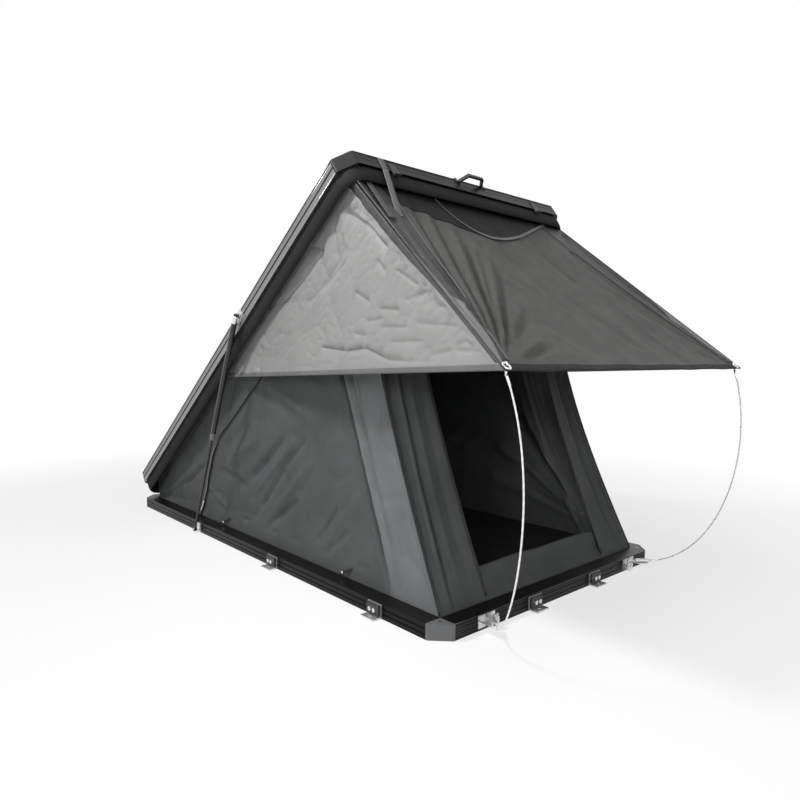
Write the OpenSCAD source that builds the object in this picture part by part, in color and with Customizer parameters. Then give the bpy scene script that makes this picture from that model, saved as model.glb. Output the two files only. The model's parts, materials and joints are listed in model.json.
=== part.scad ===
// Hard-shell roof top tent, shown open: a flat base, a wedge lid on rear hinges, canvas walls
// and a fly whose front edge is held out as an awning by two springy poles.
// Frame: +X is the door end, -Y the left side, +Z up. The origin is the centre of the base underside.

/* [Shell] */
// Length of the shell from the hinge end to the door end
shell_l = 2250; // [2000:10:2500]
// Width of the shell over the rails
shell_w = 1200; // [1100:10:1500]
// Height of the base rails
base_h = 48; // [46:1:60]
// Height of the lid rails
lid_h = 62; // [58:1:80]
// Width of the rails seen from above
rail_w = 60; // [56:1:70]
// Wall of the extruded rails
rail_wall = 3.5; // [2:0.1:5]
// Chamfer on the corner castings
corner_cut = 54; // [30:1:55]
// Thickness of the floor panel
floor_t = 22; // [16:1:28]
// Thickness of the roof panel
roof_t = 16; // [12:1:20]
// Thickness of the lips that hold the panels
lip_t = 4; // [3:0.5:6]
// Width of the lips that hold the panels
lip_w = 12; // [8:1:20]
// Height of the rubber seal under the lid rails
seal_h = 24; // [16:1:30]
// Width of the rubber seal
seal_w = 20; // [14:1:22]
// Depth of the grooves along the rails
groove_d = 2.5; // [1:0.1:3]

/* [Opening] */
// Angle between the open lid and the base
lid_angle = 36.1; // [28:0.1:42]
// Distance of the hinge axis behind the shell
hinge_back = 40; // [34:1:50]
// Height of the hinge axis above the base rails
hinge_up = 12; // [8:1:16]
// Distance between neighbouring hinges
hinge_pitch = 400; // [300:10:460]
// Width of one hinge
hinge_w = 80; // [60:1:100]
// Radius of the hinge pins
hinge_pin_r = 4; // [3:0.1:5]
// Radius of the hinge knuckles
knuckle_r = 9; // [8:0.1:11]

/* [Gas struts] */
// Place of the lower strut pivot along the shell
strut_low_x = -427; // [-520:1:-350]
// Height of the lower strut pivot
strut_low_z = 14; // [13:1:20]
// Place of the upper strut pivot along the closed lid
strut_high_x = 290.6; // [240:0.1:360]
// Height of the upper strut pivot above the lid rail's lower edge
strut_high_up = 38.6; // [25:0.1:40]
// Distance of the strut axis outside the rails
strut_out = 18; // [16:0.5:24]
// Radius of the strut tube
strut_tube_r = 11; // [9:0.5:13]
// Length of the strut tube
strut_tube_l = 543; // [500:1:600]
// Radius of the strut rod
strut_rod_r = 5; // [4:0.5:6]
// Radius of the pivot studs
stud_r = 4; // [3:0.1:5]

/* [Mounts] */
// Place of the rear pair of side feet
foot_rear_x = 230; // [120:1:400]
// Place of the front pair of side feet
foot_front_x = 842; // [600:1:950]
// Distance of each front foot from the middle
foot_front_y = 174; // [120:1:280]
// Width of a foot
foot_w = 62; // [50:1:80]
// How far a foot stands out
foot_reach = 34; // [30:1:45]
// Thickness of the foot plate
foot_t = 5; // [3:0.5:8]
// Radius of the foot's bolt hole
foot_hole_r = 4.5; // [3:0.1:6]
// Distance of the bolt hole from the shell
foot_hole_out = 20; // [16:1:24]

/* [Latches and handle] */
// Distance of each latch from the shell's side
latch_in = 210; // [205:1:270]
// Width of a latch plate
latch_w = 36; // [34:1:40]
// Radius of the latch pivot pins
latch_pin_r = 2; // [1.5:0.1:2.5]
// Radius of the bail wire
bail_r = 1.5; // [1:0.1:2]
// Length of the bail
bail_l = 28; // [24:0.5:28]
// Middle of the handle across the shell
handle_y = 15; // [-100:1:100]
// Width of the handle at its feet
handle_w = 133; // [110:1:160]
// Width of the handle's grip
handle_grip_w = 80; // [60:1:100]
// How far the handle stands out
handle_reach = 38; // [34:1:50]

/* [Fabric] */
// Thickness of the canvas and fly solids
cloth_t = 3; // [2:0.5:4]
// Inward sag of the walls at the front corner
wall_sag = 78; // [20:1:90]
// Depth of the wall folds
wall_fold = 14; // [4:1:20]
// Half width of the door
door_half_w = 330; // [260:1:360]
// Height of the door sill above the base underside
door_sill_z = 145; // [120:1:200]
// Height of the top of the door
door_top_z = 1150; // [900:10:1200]
// Thickness of the mattress at its edge
mattress_t = 40; // [30:1:42]
// Rise of the mattress crown
mattress_crown = 6; // [2:0.5:8]
// Gap between the mattress and the rails' lips
mattress_gap = 10; // [6:1:20]
// How far the awning corners stand out before the shell
awning_reach = 262; // [200:1:320]
// Height of the awning corners
awning_z = 777; // [700:1:900]
// How far the awning corners stand out beyond the shell's side
awning_spread = 63; // [30:1:90]
// Downward sag of the awning
awning_sag = 26; // [5:1:40]
// Closed place along the lid where the fly's side panels start
fly_rear_x = -38; // [-150:1:100]
// Radius of the awning poles
pole_r = 3; // [2.5:0.1:4.5]
// Width of the webbing straps
strap_w = 25; // [15:1:35]
// Width of the zip bands on the side walls
zip_w = 22; // [14:1:30]
// Height of the lid's underside above the zip bands
zip_drop = 227; // [150:1:320]

/* [Hidden] */
$fn = 48;

// Clearances
seal_gap = 0.5;
panel_gap = 0.5;
cloth_gap = 0.5;
run_gap = 0.05;
knuckle_gap = 0.3;
pivot_gap = 0.5;
bolt_gap = 0.3;
eps = 0.01;

// Shell
half_l = shell_l / 2;
half_w = shell_w / 2;
inner_x = half_l - rail_w;
inner_y = half_w - rail_w;
lid_z = base_h + seal_h + seal_gap;
lid_top = lid_z + lid_h;
lid_edge_chamfer = 6;
roof_inset = 4;
roof_z = lid_h - roof_inset - roof_t;
seal_in = 8;
seal_round_out = corner_cut + 31;
seal_round_in = 50;

// Hinge axis
hinge_x = -half_l - hinge_back;
hinge_z = base_h + hinge_up;
leaf_t = 4;
leaf_edge = 4;
knuckle_w = (hinge_w - 2 * knuckle_gap) / 3;

// Struts
strut_y = half_w + strut_out;
strut_plate_t = 4;
strut_plate_w = 50;
strut_plate_h = 40;
strut_eye_r = 10;
strut_eye_w = 12;
strut_low = [strut_low_x, strut_y, strut_low_z];
strut_high_closed = [strut_high_x, strut_y, lid_z + strut_high_up];
strut_high = lid_open(strut_high_closed);
strut_run = strut_high - strut_low;
strut_len = norm(strut_run);
strut_stroke = strut_len - norm(strut_high_closed - strut_low);
strut_pitch = atan2(strut_run.z, strut_run.x);
strut_end_l = 19;
strut_tube_end = strut_len - strut_end_l;
strut_tube_start = strut_tube_end - strut_tube_l;
strut_wall = 2;
strut_gland_l = 20;
strut_rod_in = 45;
strut_piston_l = 12;

// Mount feet
foot_leg_t = 4;
foot_leg_h = 44;
clamp_w = 58;
clamp_h = 34;
clamp_t = 8;
clamp_z = 8;
clamp_bolt_pitch = 20;
clamp_bolt_r = 4;
clamp_head_r = 6.5;
clamp_head_t = 5;

// Latches
latch_y = half_w - latch_in;
latch_plate_t = 3;
latch_plate_z = 6;
latch_plate_h = 40;
latch_pin_x = half_l + 15;
latch_pin_z = 14;
latch_ear_t = 2;
latch_ear_r = 5;
lever_gap = 0.5;
lever_w = latch_w - 2 * (latch_ear_t + lever_gap) - 2;
lever_knuckle_r = 5;
lever_plate_x = latch_pin_x + 1;
lever_plate_t = 3;
lever_top = 44;
lever_lip_w = 18;
lever_lip_l = 6;
bail_x = latch_pin_x + 8;
bail_z = 34;
bail_half = 12;
lug_t = 2.5;
lug_y = bail_half - bail_r - 0.5 - lug_t;
lug_r = 3.5;
keeper_w = 30;
keeper_t = 3;
keeper_low = base_h + 4;
keeper_lip_x = 11;

// Handle
handle_bar = 9;
handle_h = 12;
handle_z = lid_z + 49.5 - handle_h / 2;
handle_foot_l = 20;
handle_foot_t = 4;

// Pole sockets
socket_r = 7;
socket_bore_r = pole_r + 0.8;
socket_in = 37;
socket_out = 13;
pole_in = 160;
pole_root = [half_l + 56, half_w - pole_in, 43];
pole_dir = [cos(45), sin(45), 0];
pole_bracket_z = pole_root.z - socket_r - 4;

// Fabric
fly_in = 50;
fly_y = half_w - fly_in;
wall_foot_z = floor_t + lip_t + 4;
wall_head_up = 15;
wall_turn_z = base_h + 2;
eyelet = [half_l + awning_reach, half_w + awning_spread, awning_z];
eyelet_in = 7;
eyelet_out = 14;
eyelet_t = 3;
hem = [12, 20, -9];
awning_corner = eyelet + hem;
keder_r = 4;
keder_x = inner_x + 8;
keder_z = lid_z - seal_gap - keder_r;
fly_front = [keder_x, fly_y, lid_z - seal_gap + 0.2];
fly_rear = [fly_rear_x, fly_y, lid_z - seal_gap + 0.2];
fly_rear_drop = 32;
strap_gap = 0.5;
strap_over_y = 170 - half_w;
strap_under_y = 100 - half_w;
hook_x = [-0.257 * half_l, 0.532 * half_l];

// Place of a point of the closed lid once the lid is open
function lid_open(p) = [
  hinge_x + (p.x - hinge_x) * cos(lid_angle) - (p.z - hinge_z) * sin(lid_angle),
  p.y,
  hinge_z + (p.x - hinge_x) * sin(lid_angle) + (p.z - hinge_z) * cos(lid_angle)
];

function mix(a, b, t) = a + (b - a) * t;
function bezier(p, t) =
  p[0] * pow(1 - t, 3) + p[1] * 3 * t * pow(1 - t, 2) + p[2] * 3 * t * t * (1 - t) + p[3] * pow(t, 3);
function unit(v) = v / norm(v);
function flat(rows) = [for (row = rows) each row];
function moved(rows, v) = [for (row = rows) [for (p = row) p + v]];
function every_cell(i, j) = true;

// Awning surface: v runs across from -1 to 1, w from the keder bead to the hem
awning_cols = 16;
awning_rows = 9;
awning_top = lid_open([keder_x + keder_r + pivot_gap + cloth_t, 0, keder_z]);
awning_slope = unit([awning_top.x - eyelet.x, 0, awning_top.z - eyelet.z]);
awning_up = cross([0, 1, 0], awning_slope);
awning_ripple = 9;
function awning_dip(v, w) =
  awning_sag * sin(180 * w) * (1 - v * v) + awning_ripple * w * (1 - pow(v, 6)) * (1 + cos(900 * v)) / 2;
function awning_point(v, w) =
  mix([awning_top.x, v * (fly_y - cloth_t - 1), awning_top.z],
      [awning_corner.x, v * (awning_corner.y - cloth_t - 1), awning_corner.z], w)
    - awning_up * awning_dip(v, w);

module on_lid() {
  translate([hinge_x, 0, hinge_z])
    rotate([0, -lid_angle, 0])
      translate([-hinge_x, 0, -hinge_z])
        children();
}

module both_sides() {
  children();
  mirror([0, 1, 0]) children();
}

module right_side() {
  mirror([0, 1, 0]) children();
}

module four_corners() {
  for (end = [0, 1], side = [0, 1])
    mirror([end, 0, 0]) mirror([0, side, 0]) children();
}

// Round bar between two points
module bar(a, b, r) {
  v = b - a;
  translate(a)
    rotate([0, acos(v.z / norm(v)), atan2(v.y, v.x)])
      cylinder(h = norm(v), r = r);
}

// Cylinder along Y, from y0 to y1
module cross_bar(x, z, r, y0, y1) {
  translate([x, y1, z]) rotate([90, 0, 0]) cylinder(h = y1 - y0, r = r);
}

// Outline in X and Z, extruded along Y from y0 to y1
module slab(y0, y1) {
  translate([0, y1, 0]) rotate([90, 0, 0]) linear_extrude(height = y1 - y0) children();
}

// Closed solid between two grids of points of the same size. Rows run along a, columns along b,
// and the back grid lies on the side of a x b. Cells for which keep is false are left open.
module sheet(front, back, keep = function(i, j) every_cell(i, j)) {
  rows = len(front);
  cols = len(front[0]);
  half = rows * cols;
  at = function(i, j) i * cols + j;
  is_in = function(i, j) i >= 0 && j >= 0 && i < rows - 1 && j < cols - 1 && keep(i, j);
  quad = function(a, b, c, d) [[a, b, c], [a, c, d]];
  rim = function(p, q) quad(p, q, q + half, p + half);
  faces = [
    for (i = [0:rows - 2], j = [0:cols - 2])
      if (is_in(i, j))
        each concat(
          quad(at(i, j), at(i + 1, j), at(i + 1, j + 1), at(i, j + 1)),
          quad(half + at(i, j), half + at(i, j + 1), half + at(i + 1, j + 1), half + at(i + 1, j)),
          is_in(i, j - 1) ? [] : rim(at(i + 1, j), at(i, j)),
          is_in(i, j + 1) ? [] : rim(at(i, j + 1), at(i + 1, j + 1)),
          is_in(i - 1, j) ? [] : rim(at(i, j), at(i, j + 1)),
          is_in(i + 1, j) ? [] : rim(at(i + 1, j + 1), at(i + 1, j))
        )
  ];
  polyhedron(points = concat(flat(front), flat(back)), faces = faces, convexity = 8);
}

// Round tube swept along points that never turn straight up the given side vector
module swept(path, r, sides, side) {
  last = len(path) - 1;
  along = [for (i = [0:last]) unit(path[min(i + 1, last)] - path[max(i - 1, 0)])];
  rings = [
    for (i = [0:last])
      let (u = unit(cross(along[i], side)), v = cross(u, along[i]))
        [for (k = [0:sides - 1]) path[i] + r * (u * cos(360 * k / sides) + v * sin(360 * k / sides))]
  ];
  walls = [
    for (i = [0:last - 1], k = [0:sides - 1])
      let (a = i * sides + k, b = i * sides + (k + 1) % sides)
        each [[a, b, b + sides], [a, b + sides, a + sides]]
  ];
  ends = [
    for (k = [1:sides - 2])
      each [[0, k + 1, k], [last * sides, last * sides + k, last * sides + k + 1]]
  ];
  polyhedron(points = flat(rings), faces = concat(walls, ends), convexity = 4);
}

// Strip of webbing along points, with its width and thickness as vectors
module webbing(path, width, thick) {
  sheet([for (p = path) [p - width / 2, p + width / 2]],
        [for (p = path) [p - width / 2 + thick, p + width / 2 + thick]]);
}

// Base

module base_profile() {
  groove_h = 5;
  difference() {
    square([rail_w, base_h]);
    for (z = [base_h / 3, base_h * 2 / 3])
      translate([-eps, z - groove_h / 2]) square([groove_d + eps, groove_h]);
    translate([rail_wall + groove_d, rail_wall])
      square([rail_w - 2 * rail_wall - groove_d, base_h - 2 * rail_wall]);
  }
}

module base_lip() {
  translate([rail_w - eps, floor_t]) square([lip_w + eps, lip_t]);
}

// Rail across the shell at its front, with its lip kept clear of the side rails' lips
module cross_rail(length, lip_length) {
  translate([half_l, 0, 0]) {
    slab(-length / 2, length / 2) mirror([1, 0]) children(0);
    slab(-lip_length / 2, lip_length / 2) mirror([1, 0]) children(1);
  }
}

// Rail along the left side
module side_rail(length) {
  translate([-length / 2, -half_w, 0])
    rotate([90, 0, 90])
      linear_extrude(height = length) {
        children(0);
        children(1);
      }
}

cross_lip = 2 * (inner_y - lip_w - panel_gap);

module base_rail_front() {
  color("#2b2c2e") cross_rail(2 * inner_y, cross_lip) {
    base_profile();
    base_lip();
  }
}

module base_rail_rear() {
  mirror([1, 0, 0]) base_rail_front();
}

module base_rail_left() {
  color("#2b2c2e") side_rail(2 * inner_x) {
    base_profile();
    base_lip();
  }
}

module base_rail_right() {
  right_side() base_rail_left();
}

module floor_panel() {
  color("#3a3b3d")
    translate([-inner_x + panel_gap, -inner_y + panel_gap, 0])
      cube([2 * (inner_x - panel_gap), 2 * (inner_y - panel_gap), floor_t]);
}

// Casting that fills the corner between two rails, with a blind hole for its screw
corner_screw_r = 5;
corner_screw_t = 3.5;
corner_screw_at = 18;

function rounded(a, p, b, n) =
  [for (i = [0:n]) let (t = i / n) mix(mix(a, p, t), mix(p, b, t), t)];

module corner_outline() {
  stub = rail_w - corner_cut;
  turn = min(stub, corner_cut / 3) * 0.9;
  slant = turn * cos(45);
  polygon(concat([[0, 0], [rail_w, 0]],
                 rounded([rail_w, stub - turn], [rail_w, stub], [rail_w - slant, stub + slant], 4),
                 rounded([stub + slant, rail_w - slant], [stub, rail_w], [stub - turn, rail_w], 4),
                 [[0, rail_w]]));
}

module corner_block(h, z, hole_z, chamfer = 0) {
  translate([inner_x, inner_y, z])
    difference() {
      union() {
        linear_extrude(height = h - chamfer) corner_outline();
        if (chamfer > 0)
          translate([0, 0, h - chamfer])
            linear_extrude(height = chamfer, scale = (rail_w - chamfer) / rail_w) corner_outline();
      }
      translate([corner_screw_at, corner_screw_at, hole_z])
        cylinder(h = corner_screw_t + eps, r = corner_screw_r + bolt_gap);
    }
}

module corner_screw(z) {
  translate([inner_x + corner_screw_at, inner_y + corner_screw_at, z])
    difference() {
      cylinder(h = corner_screw_t - bolt_gap, r = corner_screw_r);
      translate([0, 0, 1.2]) cylinder(h = corner_screw_t, r = 2.2, $fn = 6);
    }
}

module base_corners() {
  color("#1d1e20") four_corners() corner_block(base_h, 0, base_h - corner_screw_t);
}

module base_corner_screws() {
  color("silver") four_corners() corner_screw(base_h - corner_screw_t);
}

// Cushion with a crowned top whose long sides draw in between the corners
module mattress() {
  long = inner_x - lip_w - mattress_gap;
  wide = inner_y - lip_w - mattress_gap;
  draw_in = 8;
  edge_round = 9;
  steps_x = 16;
  steps_y = 10;
  s = function(k, n) sin(90 * (2 * k / n - 1));
  place = function(i, j, inset)
    let (a = s(i, steps_x), b = s(j, steps_y))
      [a * (long - inset - draw_in * (1 - b * b)), b * (wide - inset - draw_in * (1 - a * a))];
  rise = function(i, j)
    let (a = s(i, steps_x), b = s(j, steps_y))
      mattress_t - edge_round + (edge_round + mattress_crown) * pow((1 - pow(a, 8)) * (1 - pow(b, 8)), 0.5);
  top = [for (i = [0:steps_x]) [for (j = [0:steps_y])
    let (p = place(i, j, 0)) [p.x, p.y, floor_t + rise(i, j)]]];
  bottom = [for (i = [0:steps_x]) [for (j = [0:steps_y])
    let (p = place(i, j, edge_round / 2)) [p.x, p.y, floor_t]]];
  color("#55585c") sheet(bottom, top);
}

// Mount foot on the face x = 0 of its own frame, standing out along +X
module foot() {
  difference() {
    union() {
      translate([0, -foot_w / 2, 0]) cube([foot_reach, foot_w, foot_t]);
      translate([0, -foot_w / 2, 0]) cube([foot_leg_t, foot_w, foot_leg_h]);
    }
    translate([foot_hole_out, 0, -1]) cylinder(h = foot_t + 2, r = foot_hole_r);
    for (side = [-1, 1])
      translate([-1, side * clamp_bolt_pitch / 2, clamp_z + clamp_h / 2])
        rotate([0, 90, 0]) cylinder(h = foot_leg_t + 2, r = clamp_bolt_r + bolt_gap);
  }
}

module foot_clamp() {
  difference() {
    translate([foot_leg_t, -clamp_w / 2, clamp_z]) cube([clamp_t, clamp_w, clamp_h]);
    for (side = [-1, 1])
      translate([foot_leg_t - 1, side * clamp_bolt_pitch / 2, clamp_z + clamp_h / 2])
        rotate([0, 90, 0]) cylinder(h = clamp_t + 2, r = clamp_bolt_r + bolt_gap);
  }
}

module foot_bolts() {
  for (side = [-1, 1])
    translate([bolt_gap, side * clamp_bolt_pitch / 2, clamp_z + clamp_h / 2])
      rotate([0, 90, 0])
        difference() {
          union() {
            cylinder(h = foot_leg_t + clamp_t, r = clamp_bolt_r);
            translate([0, 0, foot_leg_t + clamp_t - bolt_gap]) cylinder(h = clamp_head_t, r = clamp_head_r);
          }
          translate([0, 0, foot_leg_t + clamp_t + 1.5]) cylinder(h = clamp_head_t, r = 3, $fn = 6);
        }
}

module at_feet() {
  for (x = [foot_rear_x, foot_front_x], side = [-1, 1])
    translate([x, side * half_w, 0]) rotate([0, 0, side * 90]) children();
  for (side = [-1, 1])
    translate([half_l, side * foot_front_y, 0]) children();
}

module mount_brackets() {
  color("#c9cbcd") at_feet() foot();
}

module mount_clamps() {
  color("#1b1c1e") at_feet() foot_clamp();
}

module mount_bolts() {
  color("#d5d7d9") at_feet() foot_bolts();
}

// Hinges: the base leaf has the two outer knuckles, the lid leaf the middle one
module hinge_arm(z0, z1, bore) {
  difference() {
    union() {
      polygon([[-half_l - leaf_t / 2, z0], [-half_l - leaf_t / 2, z1],
               [hinge_x + knuckle_r * 0.6, hinge_z + knuckle_r * 0.8],
               [hinge_x + knuckle_r * 0.4, hinge_z - knuckle_r * 0.9]]);
      translate([hinge_x, hinge_z]) circle(r = knuckle_r);
    }
    translate([hinge_x, hinge_z]) circle(r = bore);
  }
}

module at_hinges() {
  for (k = [-1:1]) translate([0, k * hinge_pitch, 0]) children();
}

module hinge_base_leaves() {
  top = base_h - 2;
  color("#2a2b2d") at_hinges() {
    translate([-half_l - leaf_t, -hinge_w / 2, leaf_edge]) cube([leaf_t, hinge_w, top - leaf_edge]);
    for (y = [-hinge_w / 2, hinge_w / 2 - knuckle_w])
      slab(y, y + knuckle_w) hinge_arm(top - 18, top, hinge_pin_r);
  }
}

module hinge_lid_leaves() {
  low = lid_z + leaf_edge;
  color("#2a2b2d") on_lid() at_hinges() {
    translate([-half_l - leaf_t, -hinge_w / 2, low]) cube([leaf_t, hinge_w, lid_h - 2 * leaf_edge]);
    slab(-knuckle_w / 2, knuckle_w / 2) hinge_arm(low, low + 18, hinge_pin_r + run_gap);
  }
}

module hinge_pins() {
  head = 2;
  color("#b9bcbf") at_hinges() {
    cross_bar(hinge_x, hinge_z, hinge_pin_r, -hinge_w / 2 - head, hinge_w / 2 + head);
    for (y = [-hinge_w / 2 - head, hinge_w / 2])
      cross_bar(hinge_x, hinge_z, hinge_pin_r + 2, y, y + head);
  }
}

// Gas struts, drawn for the right side and mirrored to the left
module strut_base_bracket() {
  head = 3;
  eye_end = strut_y + strut_eye_w / 2;
  translate([strut_low_x - strut_plate_w / 2, half_w, 2])
    cube([strut_plate_w, strut_plate_t, strut_plate_h]);
  cross_bar(strut_low_x, strut_low_z, stud_r + 2.5, half_w, strut_y - strut_eye_w / 2 - pivot_gap);
  cross_bar(strut_low_x, strut_low_z, stud_r, half_w, eye_end + pivot_gap + head);
  cross_bar(strut_low_x, strut_low_z, stud_r + 2.5, eye_end + pivot_gap, eye_end + pivot_gap + head);
}

module strut_base_brackets() {
  color("#c2c5c8") both_sides() strut_base_bracket();
}

module strut_lid_brackets() {
  boss_end = strut_y - strut_tube_r - pivot_gap;
  color("#c2c5c8") on_lid() both_sides() {
    translate([strut_high_x - strut_plate_w / 2, half_w, lid_z + strut_high_up - strut_plate_h / 2])
      cube([strut_plate_w, strut_plate_t, strut_plate_h]);
    cross_bar(strut_high_x, strut_high_closed.z, stud_r + 3, half_w, boss_end);
  }
}

// Frame of the right strut: +X runs from the lower pivot to the upper one
module along_strut() {
  translate(strut_low) rotate([0, -strut_pitch, 0]) children();
}

module along_bar(x0, x1, r) {
  translate([x0, 0, 0]) rotate([0, 90, 0]) cylinder(h = x1 - x0, r = r);
}

module strut_rod() {
  rod_end = strut_tube_start + strut_rod_in;
  along_strut()
    difference() {
      union() {
        cross_bar(0, 0, strut_eye_r, -strut_eye_w / 2, strut_eye_w / 2);
        along_bar(0, strut_eye_r + 14, strut_eye_w / 2);
        along_bar(0, rod_end, strut_rod_r);
        along_bar(rod_end - strut_piston_l, rod_end, strut_tube_r - strut_wall - 0.5);
      }
      cross_bar(0, 0, stud_r + run_gap, -strut_eye_w, strut_eye_w);
    }
}

module strut_tube() {
  eye_out = 4;
  along_strut()
    difference() {
      union() {
        along_bar(strut_tube_start, strut_tube_end, strut_tube_r);
        along_bar(strut_tube_end - 1, strut_len, strut_rod_r + 2);
        cross_bar(strut_len, 0, strut_eye_r, -strut_tube_r, eye_out);
      }
      along_bar(strut_tube_start - 1, strut_tube_start + strut_gland_l + 1, strut_rod_r + run_gap);
      along_bar(strut_tube_start + strut_gland_l, strut_tube_end - strut_end_l, strut_tube_r - strut_wall);
      cross_bar(strut_len, 0, stud_r + bolt_gap, -strut_tube_r - 1, eye_out + 1);
    }
}

module strut_rod_right() {
  color("#d9dbdd") strut_rod();
}

module strut_rod_left() {
  right_side() strut_rod_right();
}

module strut_tube_right() {
  color("#1a1b1d") strut_tube();
}

module strut_tube_left() {
  right_side() strut_tube_right();
}

// Latches, drawn on the right side about their own middle
module at_latch() {
  translate([0, latch_y, 0]) children();
}

module latch_ear() {
  difference() {
    union() {
      polygon([[half_l + latch_plate_t / 2, latch_pin_z + 12], [half_l + latch_plate_t / 2, latch_plate_z],
               [latch_pin_x, latch_pin_z - latch_ear_r],
               [latch_pin_x + latch_ear_r * 0.6, latch_pin_z + latch_ear_r * 0.8]]);
      translate([latch_pin_x, latch_pin_z]) circle(r = latch_ear_r);
    }
    translate([latch_pin_x, latch_pin_z]) circle(r = latch_pin_r);
  }
}

module latch_plates() {
  color("#c9cbcd") both_sides() at_latch() {
    translate([half_l, -latch_w / 2, latch_plate_z]) cube([latch_plate_t, latch_w, latch_plate_h]);
    for (y = [-latch_w / 2, latch_w / 2 - latch_ear_t]) slab(y, y + latch_ear_t) latch_ear();
  }
}

module latch_pins() {
  color("#b9bcbf") both_sides() at_latch()
    cross_bar(latch_pin_x, latch_pin_z, latch_pin_r, -latch_w / 2, latch_w / 2);
}

module latch_lever_right() {
  color("#d0d2d4") at_latch() {
    slab(-lever_w / 2, lever_w / 2)
      difference() {
        union() {
          translate([latch_pin_x, latch_pin_z]) circle(r = lever_knuckle_r);
          translate([lever_plate_x, latch_pin_z]) square([lever_plate_t, lever_top - latch_pin_z]);
        }
        translate([latch_pin_x, latch_pin_z]) circle(r = latch_pin_r + run_gap);
      }
    translate([lever_plate_x, -lever_lip_w / 2, lever_top - lever_plate_t])
      cube([lever_plate_t + lever_lip_l, lever_lip_w, lever_plate_t]);
    for (y = [-lug_y - lug_t, lug_y])
      slab(y, y + lug_t)
        difference() {
          union() {
            translate([bail_x, bail_z]) circle(r = lug_r);
            translate([lever_plate_x + lever_plate_t / 2, bail_z - lug_r])
              square([bail_x - lever_plate_x - lever_plate_t / 2, 2 * lug_r]);
          }
          translate([bail_x, bail_z]) circle(r = bail_r + run_gap);
        }
  }
}

module latch_lever_left() {
  right_side() latch_lever_right();
}

// Wire loop that hangs from the lever's lugs
module latch_bail_right() {
  low = bail_z - bail_l;
  color("#d9dbdd") at_latch() {
    bar([bail_x, -bail_half, low], [bail_x, bail_half, low], bail_r);
    for (side = [-1, 1]) {
      bar([bail_x, side * bail_half, low], [bail_x, side * bail_half, bail_z], bail_r);
      for (z = [low, bail_z]) translate([bail_x, side * bail_half, z]) sphere(r = bail_r);
      bar([bail_x, side * bail_half, bail_z], [bail_x, side * (lug_y - 0.5), bail_z], bail_r);
    }
  }
}

module latch_bail_left() {
  right_side() latch_bail_right();
}

module latch_keepers() {
  color("#c9cbcd") on_lid() both_sides() at_latch() {
    translate([half_l, -keeper_w / 2, keeper_low])
      cube([keeper_t, keeper_w, lid_z + lid_h * 0.6 - keeper_low]);
    translate([half_l, -keeper_w / 2, keeper_low]) cube([keeper_lip_x, keeper_w, keeper_t]);
  }
}

// Bracket whose socket points outward at 45 degrees and holds the foot of an awning pole
module pole_bracket() {
  plate_w = 34;
  plate_y = pole_root.y - 28;
  in = pole_root - pole_dir * socket_in;
  out = pole_root + pole_dir * socket_out;
  difference() {
    union() {
      translate([half_l, plate_y, 8]) cube([latch_plate_t, plate_w, base_h - 10]);
      translate([0, 0, pole_bracket_z])
        linear_extrude(height = 4)
          polygon([[half_l, plate_y], [half_l, plate_y + plate_w], [out.x - 10, out.y], [out.x, out.y - 10],
                   [in.x + 14, plate_y]]);
      bar(in, out, socket_r);
    }
    bar(in + pole_dir * 4, out + pole_dir, socket_bore_r);
  }
}

module pole_brackets() {
  color("#c9cbcd") both_sides() pole_bracket();
}

// Hooks on the base rails that hold the canvas loops
module wall_hooks() {
  wire = 1.5;
  half = 7;
  leg = 8;
  hook_y = inner_y + 8;
  color("#1b1c1e") both_sides()
    for (x = hook_x)
      translate([x, hook_y, base_h]) {
        for (side = [-1, 1]) translate([side * half, 0, 0]) cylinder(h = leg, r = wire);
        translate([0, 0, leg]) rotate([90, 0, 0]) rotate_extrude(angle = 180) translate([half, 0]) circle(r = wire);
      }
}

// Canvas walls: each column runs from the base, past the rail's top edge, to the lid
wall_rows = 12;

// Point of a wall at row k of a column that starts at foot and ends at the closed lid point head
function wall_point(foot, head, k) =
  let (turn = [foot.x, foot.y, wall_turn_z], lid_turn = lid_open([head.x, head.y, lid_z]))
    k == 0 ? foot
    : k == wall_rows ? lid_open(head)
    : mix(turn, lid_turn, (k - 1) / (wall_rows - 2));

// Share of the sag at row k: none where the wall passes the rails
function wall_bow(k) = k < 1 || k > wall_rows - 1 ? 0 : sin(180 * (k - 1) / (wall_rows - 2));

side_cols = 16;

function side_sag(u, k) =
  wall_bow(k) * u * (wall_sag * u * u * u
    + wall_fold * (1 - u * u) * (1 - cos(360 * (2.6 * u + 0.11 * k))) / 2);

module side_wall() {
  long = inner_x - cloth_gap - 2 * cloth_t;
  outer_y = -inner_y + cloth_gap;
  front = [
    for (i = [0:side_cols])
      let (u = i / side_cols, x = mix(-long, long, u))
        [for (k = [0:wall_rows])
          wall_point([x, outer_y, wall_foot_z], [x, outer_y, lid_z + wall_head_up], k)
            + [0, side_sag(u, k), 0]]
  ];
  sheet(moved(front, [0, cloth_t, 0]), front);
}

module side_wall_left() {
  color("#46494d") side_wall();
}

module side_wall_right() {
  right_side() side_wall_left();
}

// Columns across the front wall: the edge, two folds, then the door
function front_columns() =
  let (edge = inner_y - cloth_gap - cloth_t - 1, n = 3)
    concat([for (i = [0:n]) mix(-edge, -door_half_w, i / n)],
           [for (i = [1:5]) mix(-door_half_w, door_half_w, i / 6)],
           [for (i = [0:n]) mix(door_half_w, edge, i / n)]);

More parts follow.
